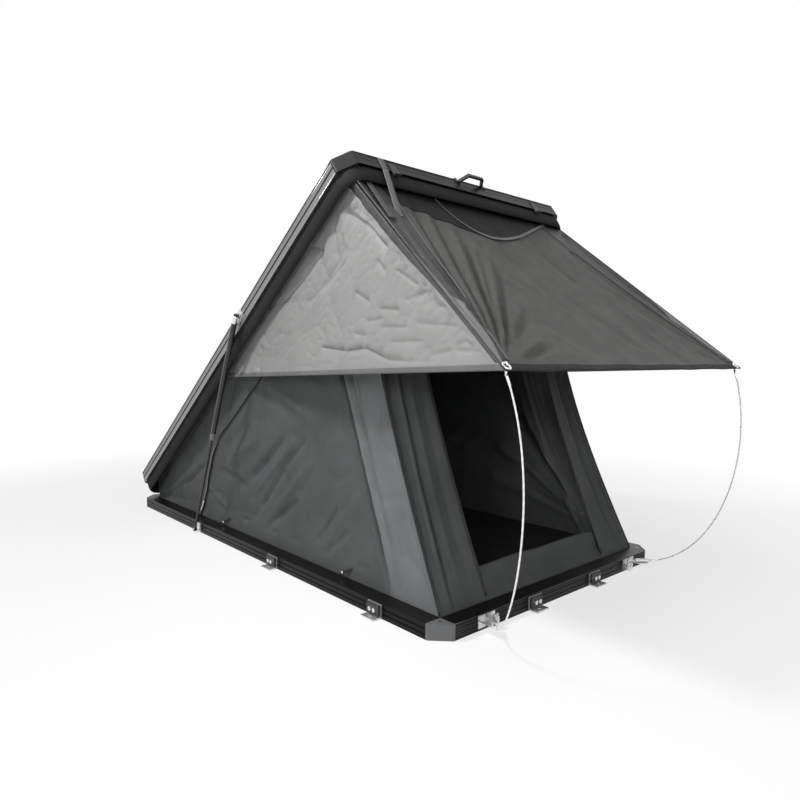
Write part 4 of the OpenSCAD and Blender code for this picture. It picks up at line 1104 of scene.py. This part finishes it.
class TENT_OT_side_walls(bpy.types.Operator):
    """Hang the canvas side walls between the base and the lid, with their corner piping, tabs and zips"""

    bl_idname = "tent.side_walls"
    bl_label = "Side Walls"

    def execute(self, context):
        for side, word in SIDES:
            points = side_wall_points(side)
            wall = grid_piece(f"canvas_wall_{word}", points, "canvas")
            self.paint_strip_light(wall)
            thicken(wall, sizes().cloth, "lining", flip=side > 0)
            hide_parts(f"side_wall_{word}")
            dress(wall, "canvas", stow_in_base)
            edge = points[-1, 1:-2] + np.array([0.001, side * 0.0012, 0])
            piping = tube(f"corner_piping_{word}", edge, "webbing", radius=0.0022)
            dress(piping, "webbing", stow_in_base)
            tabs = self.wall_tabs(points, side, word)
            self.window_zip(points, side, word)
        return {"FINISHED"}

    def paint_strip_light(self, wall):
        """Gives the strip ahead of the pleat a lighter copy of the canvas: painted light for the strip's
        turn towards the lamps.
        """
        wall.data.materials.append(finish("strip_canvas"))
        _, flat, _ = flat_wall()
        # Faces ahead of the pleat take the lighter canvas, which is painted light
        pale = pleat_offset(flat[:-1, :-1, 0], flat[:-1, :-1, 2]) > 0.006
        wall.data.polygons.foreach_set("material_index", pale.astype(np.int32).ravel())

    def wall_tabs(self, points, side, word):
        """Webbing tabs that slant from the wall to the hooks on the base rail, each with a metal end."""
        tabs = []
        across = np.array([-0.0055, 0, 0.0075])
        for k, share in enumerate(HOOK_SHARES):
            x = share * HALF_L
            head = wall_spot(points, np.array([x + 0.045]), np.array([BASE_TOP + 0.046]))[0]
            foot = np.array([x, side * (INNER_Y + 0.0105), BASE_TOP + 0.014])
            path = lerp(head + sideways(side, 0.002), foot, np.linspace(0, 1, 9))
            for name, part, cloth in (("tab", path[:8], "webbing"), ("tab_end", path[7:], "stainless")):
                piece = strip(f"wall_{name}_{word}_{k}", part, across, cloth, WEBBING)
                tabs.append(dress(piece, cloth, stow_in_base))
        return tabs

    def window_zip(self, points, side, word):
        """Zip band along the lid's slope, round a bend and down, with its coil, flap and pull."""
        s = sizes()
        x, z = zip_line()
        tangent = unit(np.gradient(np.stack([x, z], axis=1), axis=0))
        across = np.linspace(-0.5, 0.5, 7)[None] * s.zip
        edge_x = x[:, None] + tangent[:, 1:] * across
        edge_z = z[:, None] - tangent[:, :1] * across
        grid = wall_spot(points, edge_x, edge_z) + sideways(side, 0.0014)
        band = grid_piece(f"window_zip_band_{word}", grid, "zip_tape", thickness=TAPE)
        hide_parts(f"window_zip_{word}")
        dress(band, "webbing", stow_in_base)
        middle = wall_spot(points, x, z) + sideways(side, 0.0030)
        coil = tube(f"window_zip_coil_{word}", middle, "rubber", radius=0.0030)
        dress(coil, "black_plastic", stow_in_base)
        flap = strip(f"window_zip_flap_{word}", middle[-26:] + sideways(side, 0.0066), (0.011, 0, 0.002),
                     "pale_webbing", TAPE)
        dress(flap, "webbing", stow_in_base)
        pull = strip(f"window_zip_pull_{word}", middle[-6:-1] + sideways(side, 0.0084), (0.009, 0, 0.003),
                     "stainless", thickness=0.0022)
        dress(pull, "stainless", stow_in_base)


class TENT_OT_front_wall(bpy.types.Operator):
    """Hang the front wall, in panels beside, under and over the door, and the strip at the rear"""

    bl_idname = "tent.front_wall"
    bl_label = "Front Wall"

    def execute(self, context):
        s = sizes()
        jambs = [jamb_points(side_wall_points(side), side) for side, _ in SIDES]
        sill = door_panel_points(s.wall_foot, s.door_sill, 16)
        over = door_panel_points(s.door_top, jambs[0][-1, -1, 2], 26)
        panels = enumerate((*jambs, sill, over))
        cloth = [grid_piece(f"canvas_front_{k}", grid, "canvas") for k, grid in panels]
        wall = join(cloth, "canvas_front")
        thicken(wall, s.cloth)
        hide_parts("front_wall")
        dress(wall, "canvas", stow_in_base)
        self.bindings(jambs, sill)
        self.rear_strip()
        return {"FINISHED"}

    def bindings(self, jambs, sill):
        """Webbing sewn along the door's two sides and its sill."""
        proud = 0.0012
        runs = []
        for (side, word), grid in zip(SIDES, jambs):
            edge = grid[-1]
            edge = edge[(edge[:, 2] > BASE_TOP + 0.004) & (edge[:, 2] < sizes().door_top)]
            runs.append((word, edge + np.array([proud, side * 0.004, 0]), (0, 0.009, 0)))
        runs.append(("sill", sill[1:-1, -1] + np.array([proud, 0, -0.004]), (0, 0, 0.010)))
        pieces = [strip(f"door_binding_{word}", path, across, "webbing", TAPE)
                  for word, path, across in runs]
        return [dress(piece, "webbing", stow_in_base) for piece in pieces]

    def rear_strip(self):
        s = sizes()
        y = np.linspace(-1, 1, 60) * (INNER_Y - s.clearance - 0.006)
        x = np.full_like(y, -INNER_X + s.clearance)
        points, bow = wall_rows(x, y, 14)
        ripple = 0.003 * np.sin(y * 40)[:, None] * bow[None, :]
        points[..., 0] += 0.006 * bow[None, :] + np.abs(ripple)
        wall = grid_piece("canvas_rear", points, "canvas", thickness=s.cloth)
        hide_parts("rear_wall")
        dress(wall, "canvas", stow_in_base)


class TENT_OT_fly_sides(bpy.types.Operator):
    """Hang the fly's side panels with their hems and ridge bands"""

    bl_idname = "tent.fly_sides"
    bl_label = "Fly Sides"

    def execute(self, context):
        for side, word in SIDES:
            points = fly_side_points(side)
            panel = grid_piece(f"fly_panel_{word}", points, "fly_cloth", thickness=sizes().cloth)
            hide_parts(f"fly_side_{word}")
            dress(panel, "fly_cloth", stow_with_fly, side)
            parts = [self.hem(points, side, word), self.ridge_band(points, side, word)]
        return {"FINISHED"}

    def hem(self, points, side, word):
        """Folded hem along the lower edge, a little proud of the panel."""
        low = points[:, -1]
        up = unit(points[:, -1 - int(round(0.03 * points.shape[1]))] - low) * sizes().hem
        middle = low + up * 0.5 + sideways(side, 0.0016)
        hem = strip(f"fly_hem_{word}", middle, up, "hem_cloth", thickness=0.0022)
        return dress(hem, "fly_cloth", stow_with_fly, side)

    def ridge_band(self, points, side, word):
        """Band of the awning's cloth turned over the panel's front edge."""
        rows, cols = points.shape[:2]
        down = np.linspace(0.03, 0.97, 120)
        back = np.linspace(0, sizes().ridge_band, 6)
        run = np.linalg.norm(points[-1] - points[-8], axis=1)
        step = 7 / np.interp(down * (cols - 1), np.arange(cols), run)
        taper = 0.25 + 0.75 * smooth((0.75 - down) / 0.4)
        grid = grid_spot(points, rows - 1 - back[None] * (step * taper)[:, None], down[:, None] * (cols - 1))
        band = grid_piece(f"ridge_band_{word}", grid + sideways(side, 0.0016), "ridge_band",
                          thickness=0.0010)
        return dress(band, "awning_cloth", stow_with_fly, side)


# Heights of the layers on the awning, above its cloth or, for a gusset's seam, above the gusset; the layer
# under the lid is a sheet of painted shadow, the rest are sewn
SEAM_LIFT = 0.0010
GUSSET_LIFT = 0.0013
HEM_LIFT = 0.0014
PAINTED_SHADOW_LIFT = 0.0014
WRAP_LIFT = 0.0028


class TENT_OT_awning(bpy.types.Operator):
    """Stretch the awning panel from the lid to the eyelets, with its seams and hem"""

    bl_idname = "tent.awning"
    bl_label = "Awning"

    def execute(self, context):
        points, normal = awning_points()
        panel = grid_piece("awning_cloth", points, "awning_cloth", thickness=sizes().cloth)
        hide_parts("awning_panel")
        dress(panel, "awning_cloth", stow_with_awning)
        parts = [self.front_hem(points, normal)]
        parts += [self.ridge_seam(points, normal, side, word) for side, word in SIDES]
        for side, word in SIDES:
            parts += self.gusset(points, normal, side, word)
            parts.append(self.ridge_wrap(points, normal, side, word))
        parts.append(self.header(points, normal))
        return {"FINISHED"}

    def header(self, points, normal):
        """Near-black sheet under the lid's front edge, painted shadow of the lid on the awning's top; the
        pull strap hangs along its lower edge.
        """
        y, low = painted_shadow_edge(np.linspace(0, 1, 110))
        down = np.linspace(0.012, 1, 26)[:, None] * low[None]
        grid = awning_spot(points, y[None] / awning_half(down), down) + normal * PAINTED_SHADOW_LIFT
        flap = grid_piece("awning_header", grid, "header_cloth", thickness=0.0010)
        return dress(flap, "awning_cloth", stow_with_awning)

    def front_hem(self, points, normal):
        low = points[-1]
        up = unit(points[-4] - low) * sizes().hem
        hem = strip("awning_hem", low + up * 0.5 + normal * HEM_LIFT, up, "dark_hem", thickness=0.0024)
        return dress(hem, "awning_cloth", stow_with_awning)

    def ridge_seam(self, points, normal, side, word):
        """Rolled seam where the awning meets a side panel."""
        edge = points[:, 0 if side < 0 else -1]
        seam = tube(f"ridge_seam_{word}", edge + normal * SEAM_LIFT, "ridge_band", radius=0.0032)
        return dress(seam, "awning_cloth", stow_with_awning)

    def ridge_wrap(self, points, normal, side, word):
        """Pale fly cloth turned over the lower half of the ridge."""
        w = np.linspace(0.50, 0.975, 60)[:, None]
        width = 0.058 * smooth((w - 0.50) / 0.3) * smooth((1.03 - w) / 0.2)
        across = side * (0.994 - width * np.linspace(0, 1, 7)[None])
        grid = awning_spot(points, across, w) + normal * WRAP_LIFT
        wrap = grid_piece(f"ridge_wrap_{word}", grid, "wrap_cloth", thickness=0.0008)
        return dress(wrap, "fly_cloth", stow_with_awning)

    def gusset(self, points, normal, side, word):
        """Narrow panel beside the ridge, from the lid to a point at the eyelet, and its flat seam; the
        panel's near-black colour is painted shade of the band beside the ridge.
        """
        edge = 0.996
        w = np.linspace(0.02, 0.965, 90)[:, None]
        inner = 0.79 + 0.15 * (w - 0.215) / 0.75
        across = side * (edge + (inner - edge) * np.linspace(0, 1, 12)[None])
        grid = awning_spot(points, across, w) + normal * GUSSET_LIFT
        panel = grid_piece(f"ridge_gusset_{word}", grid, "ridge_cloth", thickness=0.0009)
        path = grid[4:, -1] + normal * SEAM_LIFT
        seam = strip(f"gusset_seam_{word}", path, (0, 0.007, 0), "pale_seam", TAPE)
        return [dress(piece, "awning_cloth", stow_with_awning) for piece in (panel, seam)]


class TENT_OT_eyelets(bpy.types.Operator):
    """Press a rolled metal eyelet into each awning corner"""

    bl_idname = "tent.eyelets"
    bl_label = "Eyelets"

    def execute(self, context):
        normal = awning_surface(0, 0)[1]
        for side, word in SIDES:
            ring = self.ring(f"eyelet_{word}", eyelet_centre(side), normal)
            dress(ring, "bright_steel", stow_with_awning)
            if side < 0:
                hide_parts("awning_eyelets")
        return {"FINISHED"}

    def ring(self, name, centre, normal):
        """Rolled ring: a lathe of a half-round section about the cloth's normal."""
        turn = np.linspace(0, 2 * math.pi, 40, endpoint=False)
        section = np.linspace(0, math.pi, 9)
        radius = 0.0105 + 0.0035 * np.cos(section)
        height = -0.0008 + 0.0028 * np.sin(section)
        side = np.array([0.0, 1.0, 0.0])
        down = np.cross(side, normal)
        circle = side[None] * np.cos(turn)[:, None] + down[None] * np.sin(turn)[:, None]
        grid = centre + radius[:, None, None] * circle[None] + height[:, None, None] * normal
        return grid_piece(name, grid, "bright_steel", wrap=True, thickness=0.0006)


class TENT_OT_poles(bpy.types.Operator):
    """Bend the springy poles from their sockets to the eyelets"""

    bl_idname = "tent.poles"
    bl_label = "Poles"

    def execute(self, context):
        normal = awning_surface(0, 0)[1]
        tip = eyelet_centre(1) - normal * 0.0095
        path = self.bow(tip)
        for side, word in SIDES:
            route = path if side > 0 else mirrored(path)
            pole = tube(f"pole_{word}", route, "pole", radius=0.0023, sides=14, up=(1, -side, 0))
            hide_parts(f"awning_pole_{word}")
            dress(pole, "pole", stow_with_fly, side)
            self.ferrules(route, side, word)
            self.hook(tip if side > 0 else mirrored(tip), normal, side, word)
        return {"FINISHED"}

    def bow(self, tip):
        """Right pole's route: out of its socket at 45 degrees and up in a bow to the eyelet."""
        root = np.array([HALF_L + 0.056, HALF_W - 0.160, 0.043])
        lay = np.array([math.cos(math.pi / 4), math.sin(math.pi / 4), 0])
        leave = root + lay * 0.277
        arrive = tip + np.array([0.110, -0.036, -0.285])
        t = np.linspace(0, 1, 90)[:, None]
        path = root * (1 - t) ** 3 + leave * 3 * t * (1 - t) ** 2
        path += arrive * 3 * t * t * (1 - t) + tip * t ** 3
        return np.vstack([root - lay * 0.022, path])

    def ferrules(self, route, side, word):
        """Steel sleeve just outside the socket and another under the eyelet."""
        for label, part in (("foot", route[3:7]), ("head", route[-5:-1])):
            sleeve = tube(f"pole_{label}_{word}", part, "bright_steel", radius=0.0034, sides=14,
                          up=(1, -side, 0))
            dress(sleeve, "bright_steel", stow_with_fly, side)

    def hook(self, tip, normal, side, word):
        """Bent end of the pole that passes up through the eyelet."""
        shift = np.array([(0.004, 0, -0.016), (0.006, 0, -0.006), (0, 0, 0), (0, 0, 0), (-0.006, 0, 0.002),
                          (-0.013, 0, 0.004)])
        lift = np.array([0, 0, 0.004, 0.014, 0.018, 0.013])
        path = tip + shift + lift[:, None] * normal
        fine = np.linspace(0, len(path) - 1, 24)
        route = np.stack([np.interp(fine, np.arange(len(path)), path[:, k]) for k in range(3)], axis=1)
        hook = tube(f"pole_hook_{word}", route, "bright_steel", radius=0.0024, sides=10)
        dress(hook, "bright_steel", stow_with_fly, side)


class TENT_OT_strut_fittings(bpy.types.Operator):
    """Add the bright end sockets and the gland sleeves of the gas struts"""

    bl_idname = "tent.strut_fittings"
    bl_label = "Strut Fittings"

    def execute(self, context):
        for _, word in SIDES:
            body = f"strut_tube_{word}"
            foot = np.array(JOINTS[f"strut_pivot_{word}"]["pos_m"])
            axis = np.array(JOINTS[f"strut_slide_{word}"]["axis"])
            corners = np.array([v.co for v in NODES[body].data.vertices])
            along = (corners - foot) @ axis
            foot[1] = (corners[:, 1].min() + corners[:, 1].max()) / 2
            places = foot + (along.max() - np.array((0.044, 0.041, 0.015, 0.012)))[:, None] * axis
            socket = tube(f"strut_socket_{word}", places, "bright_steel", sides=20,
                          radius=(0.0100, 0.0112, 0.0112, 0.0100))
            dress(socket, "bright_steel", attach, body)
            places = foot + (along.min() + np.array((-0.002, 0.0, 0.030, 0.034)))[:, None] * axis
            gland = tube(f"strut_gland_{word}", places, "strut_gland", sides=20,
                         radius=(0.0088, 0.0112, 0.0112, 0.0104))
            dress(gland, "black_steel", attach, body)
        return {"FINISHED"}


class TENT_OT_straps(bpy.types.Operator):
    """Add the webbing straps at the lid's front edge"""

    bl_idname = "tent.straps"
    bl_label = "Straps"

    def execute(self, context):
        self.lid_straps()
        self.pull_strap()
        return {"FINISHED"}

    def lid_straps(self):
        """A strap down the lid's face, and two that run from the lid's edge to the ridge."""
        s = sizes()
        across = (0, s.strap, 0)
        normal = awning_surface(0, 0)[1]
        out = HALF_L + 0.0015
        tack = awning_surface(-0.86, 0.24)[0] + normal * 0.003
        ridge = awning_surface(-0.945, 0.28)[0] + normal * 0.003
        over = lid_open(out, 0.170 - HALF_W, LID_TOP - 0.010)
        edge = lid_open(out, 0.166 - HALF_W, LID_LOW - 0.002)
        under = lid_open(HALF_L - 0.038, 0.100 - HALF_W, LID_LOW - 0.002)
        face_path = lerp(over, edge, np.linspace(0, 1, 8))
        face = strip("strap_face", face_path, across, "pale_webbing", WEBBING)
        dress(face, "webbing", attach, "lid")
        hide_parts("lid_straps")
        patch = self.tack(tack, normal)
        for name, start, end, cloth, ends in (("strap_pale", edge, tack, "pale_webbing", [patch]),
                                              ("strap_dark", under, ridge, "grey_webbing", [])):
            path = lerp(start, end, np.linspace(0, 1, 26))
            band = strip(name, path, across, cloth, WEBBING)
            dress(band, "webbing", stow_strap)

    def tack(self, at, normal):
        """Stitched patch that ends the pale strap on the ridge."""
        slope = np.cross(normal, (0, 1, 0))
        path = at + slope * np.linspace(-0.012, 0.016, 6)[:, None] + normal * 0.0012
        patch = strip("strap_tack", path, (0, sizes().strap * 1.1, 0), "hem_cloth", thickness=0.0024)
        return dress(patch, "webbing", stow_strap)

    def pull_strap(self):
        """Strap that droops across the awning from the lid's edge, clear of the awning's folds."""
        width = sizes().strap * 0.6
        t = np.linspace(0, 1, 90)
        w = pull_dip(t)
        v = HALF_W * (PULL_START + (PULL_END - PULL_START) * t) / awning_half(w)
        points, normal = awning_points()
        flat = awning_surface(v, w)[0]
        rise = (awning_spot(points, v, w) - flat) @ normal
        over = np.array([rise[max(0, k - 3):k + 4].max() for k in range(len(rise))])
        path = flat + (over + 0.0035)[:, None] * normal
        slope = np.cross((0, 1, 0), normal)
        band = strip("pull_strap_band", path, slope * width, "pale_webbing", WEBBING)
        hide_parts("pull_strap")
        dress(band, "webbing", stow_with_awning)


class TENT_OT_mattress(bpy.types.Operator):
    """Lay the mattress, crowned and drawn in along its sides, with its piping"""

    bl_idname = "tent.mattress"
    bl_label = "Mattress"

    def execute(self, context):
        top, bottom = self.faces()
        cover = "mattress_cover"
        rim, foot = self.loop(top), self.loop(bottom)
        band = np.stack([rim + (foot - rim) * t for t in np.linspace(0, 1, 6)])
        shells = [grid_piece("mattress_pad", top, cover), grid_piece("mattress_under", bottom[::-1], cover),
                  grid_piece("mattress_rim", band, cover, wrap=True)]
        pad = join(shells, "mattress_pad")
        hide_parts("mattress")
        dress(pad, "foam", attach, "base")
        path = np.vstack([rim, rim[:1]]) - np.array([0, 0, 0.001])
        piping = tube("mattress_piping", path, "webbing", radius=0.0026, up=(0, 0, 1))
        dress(piping, "webbing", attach, "base")
        return {"FINISHED"}

    def faces(self):
        """Grids of the crowned top, with its channels, and of the flat underside."""
        low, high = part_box("mattress")
        edge = 0.031
        draw = 0.008
        channel, pitch = 0.0022, 0.26
        inset = 1 - 0.0045
        a, b = np.meshgrid(np.sin(np.linspace(-1, 1, 72) * math.pi / 2),
                           np.sin(np.linspace(-1, 1, 44) * math.pi / 2), indexing="ij")
        x = a * (high[0] - draw * (1 - b * b))
        y = b * (high[1] - draw * (1 - a * a))
        crown = edge + (high[2] - low[2] - edge) * np.sqrt((1 - a ** 8) * (1 - b ** 8))
        channels = channel * np.abs(np.sin(x * math.pi / pitch)) ** 0.5 - channel
        top = np.stack([x, y, low[2] + crown + channels * (1 - b ** 8)], axis=-1)
        bottom = np.stack([x * inset, y * inset, np.full_like(x, low[2] + 0.0003)], axis=-1)
        return top, bottom

    def loop(self, grid):
        """Points round a grid's edge."""
        return np.vstack([grid[:, 0], grid[-1, 1:], grid[::-1, -1][1:], grid[0, ::-1][1:-1]])


class TENT_OT_stage(bpy.types.Operator):
    """Set the camera, the soft lights, the pale floor and the white surround"""

    bl_idname = "tent.stage"
    bl_label = "Stage"

    def execute(self, context):
        self.camera(context)
        self.lights(context)
        self.floor(context)
        self.surround(context)
        context.scene.view_settings.view_transform = "Standard"
        return {"FINISHED"}

    def camera(self, context):
        """Camera solved from the shell's edges in the photograph."""
        place = (2.329948, -1.829226, 0.792087)
        yaw, pitch, roll = 2.414251, -0.063573, 0.008195
        level = math.cos(pitch)
        forward = Vector((level * math.cos(yaw), level * math.sin(yaw), math.sin(pitch)))
        right = Vector((math.sin(yaw), -math.cos(yaw), 0))
        up = right.cross(forward)
        c, s = math.cos(roll), math.sin(roll)
        turned = Matrix((c * right + s * up, c * up - s * right, -forward)).transposed().to_4x4()
        data = bpy.data.cameras.new("camera")
        data.sensor_width = 36.0
        data.lens = 28.757
        data.clip_end = 60.0
        camera = bpy.data.objects.new("camera", data)
        camera.matrix_world = Matrix.Translation(place) @ turned
        context.scene.collection.objects.link(camera)
        context.scene.camera = camera

    def lights(self, context):
        """Disk lamps: place, target, size, power in watts, and spread in degrees."""
        lamps = (("key", (-0.9, -2.8, 4.4), (0.9, -0.5, 0.9), 0.8, 40.0, 80),
                 ("side", (2.5, -3.6, 1.7), (0.7, -0.2, 0.5), 1.2, 40.0, 180),
                 ("door", (2.9, -1.7, 1.2), (0.7, 0.3, 0.5), 0.9, 14.0, 180),
                 ("front", (4.6, -0.6, 1.4), (0.7, 0.2, 0.4), 1.6, 6.0, 180),
                 ("top", (1.4, -0.9, 4.6), (0.6, -0.1, 0.8), 1.4, 22.0, 180),
                 ("back", (-3.4, 3.6, 2.6), (0.0, 0.0, 0.5), 2.5, 40.0, 180))
        for name, place, target, size, power, spread in lamps:
            data = bpy.data.lights.new(name, "AREA")
            data.shape = "DISK"
            data.size = size
            data.energy = power
            data.spread = math.radians(spread)
            lamp = bpy.data.objects.new(name, data)
            lamp.location = place
            lamp.rotation_euler = (Vector(target) - Vector(place)).to_track_quat("-Z", "Y").to_euler()
            context.scene.collection.objects.link(lamp)

    def floor(self, context):
        """Pale floor that fades to white away from the tent."""
        half = 14.0
        low = min(CAD_BOX[0][2], 0.0) - 0.0005
        corners = [(x * half, y * half, low) for x, y in ((-1, -1), (1, -1), (1, 1), (-1, 1))]
        mesh = bpy.data.meshes.new("floor")
        mesh.from_pydata(corners, [], [(0, 1, 2, 3)])
        floor = bpy.data.objects.new("floor", mesh)
        context.scene.collection.objects.link(floor)
        s = Shader("pale_floor")
        s.fill(s.bsdf, Base_Color=(0.92, 0.92, 0.92, 1.0), Roughness=0.9, Specular_IOR_Level=0.1)
        glow = s.fill(s.nodes.new("ShaderNodeEmission"), Color=(1, 1, 1, 1))
        far = s.nodes.new("ShaderNodeVectorMath")
        far.operation = "LENGTH"
        s.links.new(s.coords.outputs["Object"], far.inputs[0])
        fade = s.ranged(far.outputs["Value"], 0.70, 1.0, 1.3, 3.2)
        tree = s.material.node_tree
        white = s.math("MULTIPLY", self.seen(tree), fade)
        self.mix(tree, white, s.bsdf.outputs["BSDF"], glow.outputs["Emission"], "OUTPUT_MATERIAL")
        mesh.materials.append(s.material)

    def surround(self, context):
        """Dim cool light all round, which is seen as white."""
        world = bpy.data.worlds.new("studio")
        context.scene.world = world
        world.use_nodes = True
        tree = world.node_tree
        plain = next(n for n in tree.nodes if n.type == "BACKGROUND")
        plain.inputs["Color"].default_value = (0.92, 0.95, 1.0, 1.0)
        plain.inputs["Strength"].default_value = 0.12
        white = tree.nodes.new("ShaderNodeBackground")
        white.inputs["Color"].default_value = (1, 1, 1, 1)
        shaders = (plain.outputs["Background"], white.outputs["Background"])
        self.mix(tree, self.seen(tree), *shaders, "OUTPUT_WORLD")

    def seen(self, tree):
        """One for rays from the camera, in reflections or through clear material."""
        path = tree.nodes.new("ShaderNodeLightPath")
        total = path.outputs["Is Camera Ray"]
        for kind in ("Is Glossy Ray", "Is Transmission Ray"):
            either = tree.nodes.new("ShaderNodeMath")
            either.operation = "MAXIMUM"
            tree.links.new(total, either.inputs[0])
            tree.links.new(path.outputs[kind], either.inputs[1])
            total = either.outputs[0]
        return total

    def mix(self, tree, factor, first, second, output):
        """Sends a mix of two shaders to the output of that kind."""
        mix = tree.nodes.new("ShaderNodeMixShader")
        for source, socket in zip((factor, first, second), mix.inputs):
            tree.links.new(source, socket)
        out = next(n for n in tree.nodes if n.type == output)
        tree.links.new(mix.outputs["Shader"], out.inputs["Surface"])


PIECES = (TENT_OT_stage, TENT_OT_finishes, TENT_OT_rail_lips, TENT_OT_seal, TENT_OT_side_walls,
          TENT_OT_front_wall, TENT_OT_fly_sides, TENT_OT_awning, TENT_OT_eyelets, TENT_OT_poles,
          TENT_OT_strut_fittings, TENT_OT_straps, TENT_OT_mattress)


class TENT_PT_panel(bpy.types.Panel):
    """Lists the tent's pieces in the sidebar"""

    bl_idname = "TENT_PT_panel"
    bl_label = "Roof Top Tent"
    bl_space_type = "VIEW_3D"
    bl_region_type = "UI"
    bl_category = "Tent"

    def draw(self, context):
        for piece in PIECES:
            self.layout.operator(piece.bl_idname)
        for group in (context.scene.tent_sizes, context.scene.tent_colours):
            box = self.layout.box()
            for name in group.bl_rna.properties.keys():
                if name not in ("rna_type", "name"):
                    box.prop(group, name)


CLASSES = (TentSizes, TentColours, *PIECES, TENT_PT_panel)


def register():
    for cls in CLASSES:
        bpy.utils.register_class(cls)
    bpy.types.Scene.tent_sizes = PointerProperty(type=TentSizes)
    bpy.types.Scene.tent_colours = PointerProperty(type=TentColours)


def unregister():
    del bpy.types.Scene.tent_colours
    del bpy.types.Scene.tent_sizes
    for cls in reversed(CLASSES):
        bpy.utils.unregister_class(cls)


def main():
    register()
    for piece in PIECES:
        group, name = piece.bl_idname.split(".")
        getattr(getattr(bpy.ops, group), name)()


if __name__ == "__main__":
    main()
